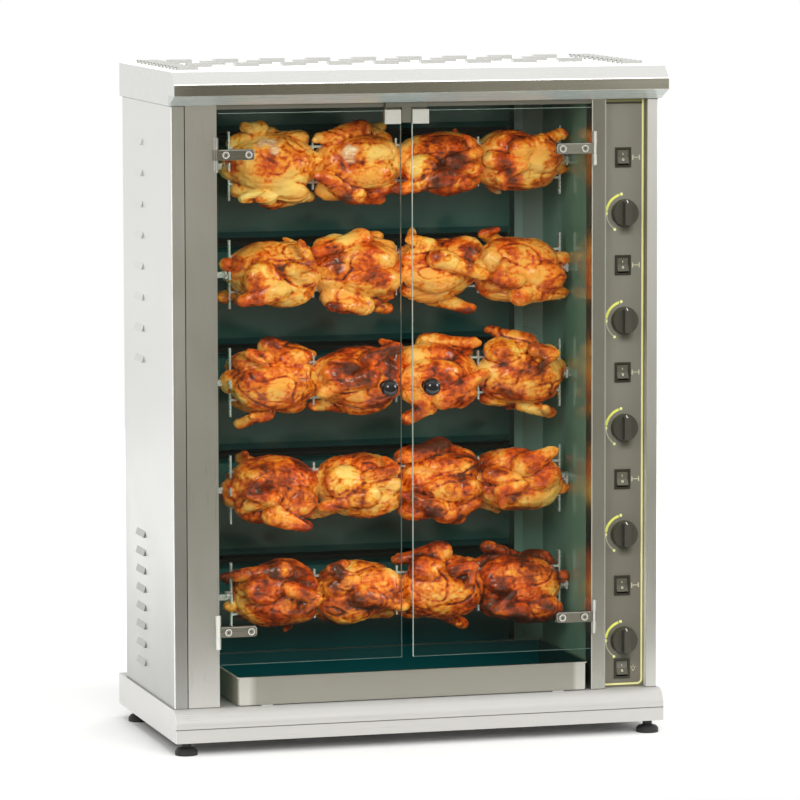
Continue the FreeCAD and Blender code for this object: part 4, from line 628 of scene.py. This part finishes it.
# A CAD node's finish: by its name where it is listed here, and else by the record's material slot.
SPECIAL = {
    "top_cap": "cap", "base_plinth": "plinth", "left_front_pillar": "pillar",
    "right_front_pillar": "right_pillar", "control_panel": "panel", "front_header": "header",
    "right_side_panel": "right_casing", "drip_tray": "tray", "burner_hoods": "enamel",
    "burner_tubes": "soot", "oven_back_wall": "back", "oven_left_wall": "lining",
    "oven_right_wall": "lining", "spit_bushes": "bush", "left_hinge_plates": "leaf",
    "right_hinge_plates": "leaf", "switch_bezels": "bezel", "left_strike_clip": "clip",
    "right_strike_clip": "clip",
}
BY_SLOT = {
    "casing": "casing", "brushed_sheet": "across", "panel_paint": "panel", "enamel": "enamel",
    "zinc_pipe": "zinc", "valve_brass": "brass", "black_plastic": "black",
    "rocker_plastic": "rocker", "catch_plastic": "catch", "motor_case": "motor",
    "hinge_metal": "hinge", "spit_chrome": "chrome", "door_pane": "pane", "lamp_glass": "lamp",
    "knob_ball": "ball", "foot_rubber": "rubber", "roast_skin": "skin",
}


def dress_nodes(looks):
    """Gives every CAD node its finish."""
    slots = {s["node"]: s["material_slot"] for s in frame["record"]["subparts"]}
    for name, obj in frame["nodes"].items():
        material = looks[SPECIAL.get(name) or BY_SLOT[slots[name]]]
        obj.data.materials.clear()
        obj.data.materials.append(material)


def piece(name, mesh, material, body, smooth=False):
    """A new object that rides on a body."""
    obj = bpy.data.objects.new(name, mesh)
    bpy.context.scene.collection.objects.link(obj)
    mesh.materials.append(material)
    if smooth:
        mesh.shade_smooth()
    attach(obj, body)
    return obj


def mesh_of(name, build):
    """A mesh from bmesh code."""
    bm = bmesh.new()
    build(bm)
    bmesh.ops.recalc_face_normals(bm, faces=bm.faces)
    mesh = bpy.data.meshes.new(name)
    bm.to_mesh(mesh)
    bm.free()
    return mesh


def solid(bm, near, far):
    """A closed solid between two matching rings of points."""
    near, far = ([bm.verts.new(point) for point in ring] for ring in (near, far))
    bm.faces.new(near)
    bm.faces.new(far[::-1])
    for i in range(len(near)):
        j = (i + 1) % len(near)
        bm.faces.new((near[j], near[i], far[i], far[j]))


def plate(bm, outline, front, back):
    """A thin plate from an (x, z) outline in millimetres, between two depths in metres."""
    solid(bm, *([(x * MM, y, z * MM) for x, z in outline] for y in (front, back)))


def bar(x0, z0, x1, z1):
    """A rectangle's outline."""
    return [(x0, z0), (x1, z0), (x1, z1), (x0, z1)]


def arc_band(x, z, inner, outer, start, end, step=4):
    """The outline of an arc band, in degrees from +X."""
    count = max(2, int(abs(end - start) / step))
    angles = [math.radians(start + (end - start) * i / count) for i in range(count + 1)]
    return ([(x + outer * math.cos(a), z + outer * math.sin(a)) for a in angles]
            + [(x + inner * math.cos(a), z + inner * math.sin(a)) for a in reversed(angles)])


def disc(x, z, radius, sides=20):
    """A round's outline."""
    return [(x + radius * math.cos(2 * math.pi * i / sides),
             z + radius * math.sin(2 * math.pi * i / sides)) for i in range(sides)]


def slanted(x, z, length, width, angle):
    """The outline of a bar about its middle, turned from upright by an angle in degrees."""
    a = math.radians(angle)
    u, v = math.sin(a), math.cos(a)
    return [(x + u * h * length / 2 + v * w * width / 2, z + v * h * length / 2 - u * w * width / 2)
            for h, w in ((-1, -1), (1, -1), (1, 1), (-1, 1))]


def printed(name, outlines, material, body="cabinet", back=PANEL_FACE):
    """Printed marks on a front face, the control panel's or another, as one thin raised film."""
    def build(bm):
        for outline in outlines:
            plate(bm, outline, back - MARK_DEPTH, back + MARK_DEPTH)

    return piece(name, mesh_of(name, build), material, body)


def middle(node):
    """The middle of a node's box, in millimetres."""
    low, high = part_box(node)
    return (low + high) / 2 / MM


def spit_icon(x, z):
    """A spit: a rod between two uprights."""
    return [bar(x - 6.8, z - 4.2, x - 4.8, z + 4.2), bar(x + 5.2, z - 4.2, x + 7.2, z + 4.2),
            bar(x - 4.8, z - 0.7, x + 5.2, z + 0.7)]


def lamp_icon(x, z):
    """A lamp: a ring with a short neck and three rays."""
    marks = [arc_band(x, z, 2.3, 3.2, -60, 240, 12), bar(x - 1.5, z - 4.6, x + 1.5, z - 2.6)]
    for angle in (30, 90, 150):
        marks.append(arc_band(x, z, 4.4, 6.2, angle - 5, angle + 5, 5))
    return marks


def panel_marks(looks):
    """The control panel's outline, arcs, dots and pictures."""
    left, right, low, high = OUTLINE
    top, edge = high - OUTLINE_WIDTH, right - OUTLINE_WIDTH
    corner = (right - OUTLINE_CORNER, low + OUTLINE_CORNER)
    printed("panel_outline", [
        bar(edge, corner[1], right, high),
        arc_band(*corner, OUTLINE_CORNER - OUTLINE_WIDTH, OUTLINE_CORNER, -90, 0, 15),
        bar(left, low, corner[0], low + OUTLINE_WIDTH)], looks["yellow"])
    # The outline's top line: the same yellow print in painted shade under the cap, so olive.
    printed("panel_top_line", [bar(left, top, edge, high)], looks["olive"])
    # A dark joint line under the top line, with painted shade from the cap.
    seam = bar(left, top - TOP_SEAM_SHADE[0], edge, top - TOP_SEAM_SHADE[1])
    printed("panel_top_seam", [seam], looks["seam"])
    arcs, thin, dots, icons = [], [], [], []
    for row in range(1, ROWS + 1):
        spot = middle(f"burner_knob_{row}")
        arcs.append(arc_band(spot.x, spot.z, *ARC))
        thin.append(arc_band(spot.x, spot.z, *THIN_ARC))
        for angle, reach, radius in DOTS:
            a = math.radians(angle)
            dots.append(disc(spot.x + reach * math.cos(a), spot.z + reach * math.sin(a), radius))
        icons += spit_icon(SPIT_ICON_X, middle(f"rocker_{row}").z)
    icons += lamp_icon(LAMP_ICON_X, middle(f"rocker_{ROCKERS}").z)
    printed("burner_arcs", arcs, looks["lemon"])
    printed("burner_thin_arcs", thin, looks["grey"])
    printed("burner_dots", dots, looks["dots"])
    printed("switch_icons", icons, looks["cream"])


def knob_ticks(looks):
    """A white tick on the end of each knob's grip."""
    for row in range(1, ROWS + 1):
        low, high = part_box(f"burner_knob_{row}")
        tick = slanted(middle(f"burner_knob_{row}").x - TICK_INSET, high.z / MM - TICK_INSET, *TICK)
        printed(f"knob_tick_{row}", [tick], looks["white"], f"gas_knob_{row}", low.y)


def rocker_marks(looks):
    """The on and off marks moulded in each rocker: a bar on one half and a ring on the other, each
    laid on the rocker's slanted face, which a ray from the front finds beside it."""
    for number in range(1, ROCKERS + 1):
        node = f"rocker_{number}"
        x, z = middle(node).xz
        for name, height, outline in (
                ("on", 6.0, bar(x - 0.5, z + 4.2, x + 0.5, z + 7.8)),
                ("off", -3.5, arc_band(x, z - 3.5, 1.0, 2.1, 0, FULL_TURN, 30))):
            start = Vector((x + 3.5, 0, z + height)) * MM
            start.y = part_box(node)[0].y - 0.02
            _, place, normal, _ = frame["nodes"][node].ray_cast(start, Vector((0, 1, 0)))
            title = f"rocker_{name}_mark_{number}"
            mesh = mesh_of(title, lambda bm: plate(bm, outline, -0.0001, 0.0003))
            for v in mesh.vertices:
                v.co.y += place.y - normal.z / normal.y * (v.co.z - place.z)
            piece(title, mesh, looks["cream"], f"switch_rocker_{number}")


def screw_recesses(looks):
    """A dull face, a painted highlight on a bright rim, and a dark cross of painted shade for the
    cross recess, in each hinge screw's head.
    """
    for side, (wall, inward) in HINGE_SIDES.items():
        discs, rims, crosses = [], [], []
        for z in HINGE_HEIGHTS:
            for reach in SCREW_REACHES:
                x = wall + inward * reach
                discs.append(disc(x, z, SCREW_HEAD))
                rims.append(arc_band(x, z, *SCREW_RIM, 0, FULL_TURN, 15))
                for turn in (0, 90):
                    crosses.append(slanted(x, z, *SCREW_CROSS, 70 - reach + turn))
        body, face = f"{side}_door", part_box(f"{side}_hinge_plates")[0].y
        printed(f"{side}_screw_faces", discs, looks["head"], body, face)
        # Painted shade: the dark cross stands for the shade in the head's cross recess.
        printed(f"{side}_screw_crosses", crosses, looks["recess"], body, face - MARK_DEPTH)
        # A painted highlight on each head's rim.
        printed(f"{side}_screw_rims", rims, looks["rim"], body, face)


def leaf_bevel_highlights(looks):
    """A painted highlight along the bevel on the top and the end of each hinge leaf."""
    round_off = LEAF_HALF / 2
    for side, (wall, inward) in HINGE_SIDES.items():
        start, turn, inner, outer = (wall + inward * reach for reach in (
            LEAF_START, LEAF_LENGTH - round_off, LEAF_LENGTH - BEVEL_INNER,
            LEAF_LENGTH - BEVEL_OUTER))
        rims = []
        for z in HINGE_HEIGHTS:
            rims.append(bar(start, z + LEAF_HALF - BEVEL_INNER, turn, z + LEAF_HALF - BEVEL_OUTER))
            rims.append(arc_band(turn, z + round_off, round_off - BEVEL_INNER,
                                 round_off - BEVEL_OUTER, 90, 90 - inward * 90, 15))
            rims.append(bar(inner, z - round_off, outer, z + round_off))
        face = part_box(f"{side}_door_glass")[0].y - LEAF_THICKNESS * MM
        # Painted highlight on the bevel.
        printed(f"{side}_leaf_bevel_highlights", rims, looks["bevel"], f"{side}_door", face)


def glass_edges(looks):
    """The ground edges of the doors, where the light gathers."""
    thin, inset = 0.0003, 0.0004
    for side in ("left", "right"):
        low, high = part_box(f"{side}_door_glass")
        free, bright = (high.x, "faint") if side == "left" else (low.x, "edge")
        for name, x0, z0, x1, z1, finish in (
                ("free", free - thin, low.z, free + thin, high.z, bright),
                ("top", low.x, high.z - thin, high.x, high.z + thin, "pale"),
                ("foot", low.x, low.z - thin, high.x, low.z + thin, "faint")):
            title = f"{side}_{name}_edge"
            mesh = mesh_of(title, lambda bm: plate(
                bm, bar(x0 / MM, z0 / MM, x1 / MM, z1 / MM), low.y + inset, high.y - inset))
            piece(title, mesh, looks[finish], f"{side}_door")


def slot_lips(looks):
    """The rolled lips of the burner slots, which show as bright lines."""
    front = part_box("oven_back_wall")[0].y
    low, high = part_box("burner_hoods")
    for row in range(1, ROWS + 1):
        spit = middle(f"spit_rod_{row}").z
        lips = [bar(low.x / MM, spit + z, high.x / MM + 1, spit + z + LIP_HEIGHT)
                for z in LIP_HEIGHTS]
        title = f"slot_lips_{row}"
        mesh = mesh_of(title, lambda bm: [
            plate(bm, lip, front - 0.0012, front + 0.0002) for lip in lips])
        piece(title, mesh, looks["rim"], "cabinet")


def end_hoods(looks):
    """Low pressed hoods over the slits near the cap's ends, open at the back."""
    foot, top = CAP_TOP - 0.0004, CAP_TOP + HOOD_RISE

    def prism(bm, x0, x1, outline):
        solid(bm, *([(x, y, z) for y, z in outline] for x in (x0, x1)))

    for side, left in SLIT_GROUPS.items():
        right = left + HOOD_LENGTH

        def build(bm):
            for i in range(END_SLITS):
                y = SLIT_FRONT + SLIT_PITCH * i
                outside = ((y - HOOD_WALL, foot), (y + HOOD_SLOPE, top), (y + HOOD_WIDTH, top))
                prism(bm, left, right, (*outside, (y + HOOD_WIDTH, top - HOOD_WALL), (
                    y + HOOD_SLOPE + HOOD_WALL * 0.5, top - HOOD_WALL), (y, foot)))
                for x in (left, right - HOOD_WALL):
                    prism(bm, x, x + HOOD_WALL, (*outside, (y + HOOD_WIDTH, foot)))

        name = f"{side}_end_hoods"
        piece(name, mesh_of(name, build), looks["cap"], "cabinet")


def smooth_step(value, low, high):
    """0 below a range, 1 above it, and an even rise between."""
    t = min(1.0, max(0.0, (value - low) / (high - low)))
    return t * t * (3 - 2 * t)


class Lumps:
    """Overlapping closed rounds, in millimetres and degrees, gathered for one mesh."""
    rings = 10
    sides = 16

    def __init__(self):
        self.points = []
        self.faces = []
        self.unit = [(0.0, 0.0, 1.0)]
        for i in range(1, self.rings):
            a = math.pi * i / self.rings
            for k in range(self.sides):
                b = 2 * math.pi * k / self.sides
                self.unit.append((math.sin(a) * math.cos(b), math.sin(a) * math.sin(b),
                                  math.cos(a)))
        self.unit.append((0.0, 0.0, -1.0))

    def blob(self, centre, radii, turn=(0, 0, 0)):
        """An ellipsoid, turned about X, then Y, then Z."""
        matrix = (Matrix.Translation(Vector(centre) * MM)
                  @ Matrix.Rotation(math.radians(turn[2]), 4, "Z")
                  @ Matrix.Rotation(math.radians(turn[1]), 4, "Y")
                  @ Matrix.Rotation(math.radians(turn[0]), 4, "X")
                  @ Matrix.Diagonal((*[r * MM for r in radii], 1)))
        first = len(self.points)
        self.points += [matrix @ Vector(p) for p in self.unit]
        last = first + len(self.unit) - 1
        n = self.sides
        for k in range(n):
            j = (k + 1) % n
            self.faces.append((first, first + 1 + k, first + 1 + j))
            low = last - n
            self.faces.append((last, low + j, low + k))
            for i in range(self.rings - 2):
                a = first + 1 + i * n
                self.faces.append((a + k, a + n + k, a + n + j, a + j))

    def limb(self, start, end, thick, thin, steps=6):
        """A tapering limb of round lumps between two points."""
        a, b = Vector(start), Vector(end)
        for i in range(steps + 1):
            t = i / steps
            r = thick + (thin - thick) * t
            self.blob(a.lerp(b, t), (r, r, r))

    def mesh(self, name):
        """All the lumps as one mesh."""
        mesh = bpy.data.meshes.new(name)
        mesh.from_pydata(self.points, [], self.faces)
        return mesh


def bird_mesh(name, rng, brown):
    """One trussed bird on its spit, neck to tail along +X, in metres about its own middle: rounds
    for its body, legs and wings, melted into one skin."""
    def j(amount):
        """A random shift either way, in millimetres or degrees."""
        return rng.uniform(-amount, amount)

    lumps = Lumps()
    blob, limb = lumps.blob, lumps.limb
    # The trunk, then the breast, the leg and the wing of each side.
    blob((0, 0, -4), (69 + j(3), 54 + j(3), 50 + j(3)))
    for side in (-1, 1):
        breast = (-16 + j(4), side * 21, 23 + j(3))
        blob(breast, (49 + j(3), 30 + j(3), 35 + j(3)), (side * 12, -6, 0))
        thigh = (26 + j(5), side * (45 + j(4)), 2 + j(7))
        blob(thigh, (35 + j(3), 22 + j(3), 30 + j(3)), (0, 20 + j(14), side * 10))
        knee = (-2 + j(8), side * (59 + j(5)), 18 + j(9))
        loose = rng.random() < 0.3
        hock = ((60 + j(6), side * (36 + j(12)), 38 + j(10)) if not loose
                else (44 + j(8), side * (66 + j(6)), 48 + j(10)))
        limb(knee, hock, 19 + j(2), 9, 7)
        blob(hock, (11, 9, 10), (j(40), j(40), j(40)))
        blob((hock[0] + 6, hock[1] - side * 2, hock[2] + 2), (7, 7, 6))
        shoulder = (-48 + j(4), side * 40, 4 + j(6))
        elbow = (-14 + j(7), side * (62 + j(5)), -14 + j(9))
        wrist = (-46 + j(8), side * (65 + j(5)), -28 + j(8))
        tip = (-30 + j(10), side * (50 + j(8)), -50 + j(6))
        limb(shoulder, elbow, 16, 12.5)
        limb(elbow, wrist, 12, 9.5)
        limb(wrist, tip, 9.5, 4.5)
    # The back, the tail and the neck.
    blob((-4, 0, -28), (60, 44, 27), (0, j(5), 0))
    blob((68, j(5), -18), (13, 12, 10))
    blob((-62, 0, 2 + j(5)), (18, 28 + j(4), 23 + j(4)), (0, j(20), 0))
    mesh = lumps.mesh(name)
    obj = bpy.data.objects.new(name, mesh)
    bpy.context.scene.collection.objects.link(obj)

    remesh = obj.modifiers.new("skin", "REMESH")
    remesh.mode = "VOXEL"
    remesh.voxel_size = 0.0025
    soften = obj.modifiers.new("soften", "SMOOTH")
    soften.factor = 0.6
    soften.iterations = 2
    bpy.context.view_layer.update()
    done = bpy.data.meshes.new_from_object(
        obj.evaluated_get(bpy.context.evaluated_depsgraph_get()))
    bpy.data.objects.remove(obj)
    wrinkle(done, rng, brown)
    return done


def creases(mesh):
    """How hollow the skin is at each vertex, evened out over its neighbours."""
    count = len(mesh.vertices)
    spots = np.empty(count * 3)
    normals = np.empty(count * 3)
    pairs = np.empty(len(mesh.edges) * 2, dtype=np.int64)
    mesh.vertices.foreach_get("co", spots)
    mesh.vertices.foreach_get("normal", normals)
    mesh.edges.foreach_get("vertices", pairs)
    spots, normals, pairs = spots.reshape(-1, 3), normals.reshape(-1, 3), pairs.reshape(-1, 2)
    one, two = pairs[:, 0], pairs[:, 1]
    degree = np.maximum(1, np.bincount(pairs.ravel(), minlength=count))

    def around(values):
        total = np.bincount(one, values[two], count) + np.bincount(two, values[one], count)
        return total / degree

    hollow = sum((around(spots[:, k]) - spots[:, k]) * normals[:, k] for k in range(3))
    for _ in range(3):
        hollow = (hollow + around(hollow)) / 2
    return hollow


def groove(value, width):
    """1 where a noise crosses zero, falling to 0 at a width."""
    return max(0.0, 1.0 - abs(value) / width) ** 2


def wrinkle(mesh, rng, brown):
    """Lumps, folds and tucks in the skin, and how brown, red or torn each place is, with painted
    shade darkening the folds and the hollows.
    """
    shift = Vector((rng.uniform(0, 50), rng.uniform(0, 50), rng.uniform(0, 50)))
    base = brown + rng.uniform(-0.18, 0.18)
    ruddy = rng.uniform(0.30, 0.95)
    turn = rng.uniform(0, 2 * math.pi)
    tear = Vector((rng.uniform(-0.03, 0.04), 0.062 * math.cos(turn), 0.062 * math.sin(turn)))
    has_tear = rng.random() < TORN_SHARE
    normals = [v.normal.copy() for v in mesh.vertices]
    folds = []
    for v, normal in zip(mesh.vertices, normals):
        p = v.co.copy()
        lump = noise.noise(p * 34 + shift) * LUMP
        some = smooth_step(noise.noise(p * 14 + shift * 1.3), -0.15, 0.25)
        across = noise.noise(Vector((p.x * 17, p.y * 28, p.z * 28)) + shift * 1.7)
        fold = groove(across, 0.15) * some
        tight = noise.noise(Vector((p.x * 44, p.y * 70, p.z * 70)) + shift * 2.3)
        tuck = groove(tight, 0.22)
        fine = noise.noise(p * 190 + shift) * PIMPLE
        folds.append(fold * 0.5 + tuck * 0.22)
        v.co = p + normal * (lump - fold * FOLD - tuck * TUCK + fine + SWELL)
    mesh.update()
    browning_and_shade, redness, torn = [], [], []
    for v, fold, deep in zip(mesh.vertices, folds, creases(mesh)):
        p = v.co
        reach = math.hypot(p.y, p.z) / GIRTH
        # Browner away from the spit and at random; painted shade in the folds here and the hollows
        # below.
        tone = base + 0.50 * noise.noise(p * 17 + shift * 0.6) + 0.28 * (reach - 0.80) + 0.22 * fold
        tone += min(0.62, max(-0.14, deep * 1900))
        char = smooth_step(noise.noise(p * 27 + shift * 2.1), 0.14, 0.42) * 0.26
        tone += char * smooth_step(reach, 0.55, 0.95)
        tone += smooth_step(abs(p.x), 0.058, 0.078) * 0.12
        browning_and_shade.append(tone)
        redness.append(min(1.0, max(0.0, ruddy + 1.3 * noise.noise(p * 21 + shift * 3.3))))
        near = (p - tear).length + noise.noise(p * 60 + shift) * 0.024
        torn.append(1 - smooth_step(near, 0.010, 0.024) if has_tear else 0.0)
    for name, values in (("browning_and_shade", browning_and_shade), ("redness", redness), ("torn", torn)):
        mesh.attributes.new(name, "FLOAT", "POINT").data.foreach_set("value", values)
    mesh.update()


def keep_within(mesh, axis, radius):
    """Presses in what reaches past a radius about a spit's axis."""
    soft = radius - SOFT_LIMIT
    for v in mesh.vertices:
        y, z = v.co.y - axis.y, v.co.z - axis.z
        reach = math.hypot(y, z)
        if reach > soft:
            new = soft + (radius - soft) * (1 - math.exp(-(reach - soft) / (radius - soft)))
            v.co.y, v.co.z = axis.y + y * new / reach, axis.z + z * new / reach


def roast_birds(looks):
    """Four birds on each spit, each with a shape, size and turn of its own."""
    rng = random.Random(SEED)
    for row in range(1, ROWS + 1):
        low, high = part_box(f"chickens_{row}")
        axis = (low + high) / 2
        pitch = (high.x - low.x) / BIRDS_IN_ROW
        bm = bmesh.new()
        for i in range(BIRDS_IN_ROW):
            mesh = bird_mesh(f"bird_{row}_{i}", rng, BROWNING[row - 1])
            facing = math.pi * rng.choice((0, 1))
            size = rng.uniform(1.08, 1.15)
            wide = rng.uniform(0.90, 0.99)
            place = (Matrix.Translation((low.x + pitch * (i + 0.5), axis.y, axis.z))
                     @ Matrix.Rotation(rng.uniform(0, 2 * math.pi), 4, "X")
                     @ Matrix.Rotation(facing, 4, "Z")
                     @ Matrix.Diagonal((size, wide, wide, 1)))
            mesh.transform(place)
            by_lamp = row == 1 and i > 1
            keep_within(mesh, axis, NEAR_LAMP if by_lamp else BETWEEN_ROWS)
            bm.from_mesh(mesh)
            bpy.data.meshes.remove(mesh)
        whole = bpy.data.meshes.new(f"roast_birds_{row}")
        bm.to_mesh(whole)
        bm.free()
        birds = piece(f"roast_birds_{row}", whole, looks["skin"], f"spit_{row}", True)
        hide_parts(f"chickens_{row}")


def area_light(name, place, target, size, energy, gloss):
    """A soft light that faces a point, and that the camera doesn't show."""
    light = bpy.data.lights.new(name, "AREA")
    light.shape = "RECTANGLE"
    light.size, light.size_y = size
    light.energy = energy
    obj = bpy.data.objects.new(name, light)
    bpy.context.scene.collection.objects.link(obj)
    obj.location = place
    obj.rotation_euler = (Vector(target) - obj.location).to_track_quat("-Z", "Y").to_euler()
    obj.visible_glossy = gloss
    obj.visible_camera = False


def studio():
    """A pale floor and soft lights, with a white backdrop behind and a dim warm room in front."""
    floor = bpy.data.objects.new("floor", mesh_of("floor", lambda bm: bmesh.ops.create_circle(
        bm, cap_ends=True, radius=FLOOR_RADIUS, segments=96,
        matrix=Matrix.Translation(FLOOR_MIDDLE))))
    bpy.context.scene.collection.objects.link(floor)
    material, tree, shader = look("floor_pale", (0.80, 0.80, 0.80), 0.8)
    tones = ramp(tree, grain(tree, 3), ((0.3, (0.79, 0.79, 0.79)), (0.7, (0.81, 0.81, 0.81))))
    tree.links.new(tones, shader.inputs["Base Color"])
    shader.inputs["Emission Color"].default_value = (1, 1, 1, 1)
    tree.links.new(times(tree, along(tree, Y, 0.5, 2.5), 0.8), shader.inputs["Emission Strength"])
    floor.data.materials.append(material)
    world = bpy.data.worlds.new("studio")
    world.use_nodes = True
    bpy.context.scene.world = world
    tree = world.node_tree
    coords = tree.nodes.new("ShaderNodeTexCoord")
    split = tree.nodes.new("ShaderNodeSeparateXYZ")
    tree.links.new(coords.outputs["Generated"], split.inputs["Vector"])
    behind = span(tree, split.outputs["Y"], 0.0, 1.0, -0.35, 0.35)
    room = blend_colors(tree, behind, (0.31, 0.295, 0.240), (0.90, 0.90, 0.88))
    above = span(tree, split.outputs["Z"], 0.0, 1.0, 0.35, 0.9)
    room = blend_colors(tree, above, room, (0.85, 0.85, 0.83))
    path = tree.nodes.new("ShaderNodeLightPath")
    seen = blend_colors(tree, path.outputs["Is Camera Ray"], room, (1.0, 1.0, 1.0))
    tree.links.new(seen, tree.nodes["Background"].inputs["Color"])
    for light in LIGHTS:
        area_light(*light)
    bpy.context.scene.view_settings.view_transform = "Standard"


def camera():
    """The camera at the photograph's place."""
    ahead = Vector((math.sin(YAW) * math.cos(PITCH), math.cos(YAW) * math.cos(PITCH),
                    -math.sin(PITCH)))
    right = Vector((math.cos(YAW), -math.sin(YAW), 0))
    up = right.cross(ahead)
    across = right * math.cos(ROLL) + up * math.sin(ROLL)
    above = up * math.cos(ROLL) - right * math.sin(ROLL)
    data = bpy.data.cameras.new("photo_view")
    data.lens = LENS
    data.sensor_width = SENSOR
    data.clip_end = FARTHEST
    obj = bpy.data.objects.new("photo_view", data)
    bpy.context.scene.collection.objects.link(obj)
    turn = Matrix((across, above, -ahead)).transposed().to_4x4()
    obj.matrix_world = Matrix.Translation(AIM - ahead * DISTANCE) @ turn
    bpy.context.scene.camera = obj


looks = finishes()
dress_nodes(looks)
panel_marks(looks)
knob_ticks(looks)
rocker_marks(looks)
screw_recesses(looks)
leaf_bevel_highlights(looks)
glass_edges(looks)
slot_lips(looks)
end_hoods(looks)
roast_birds(looks)
studio()
camera()
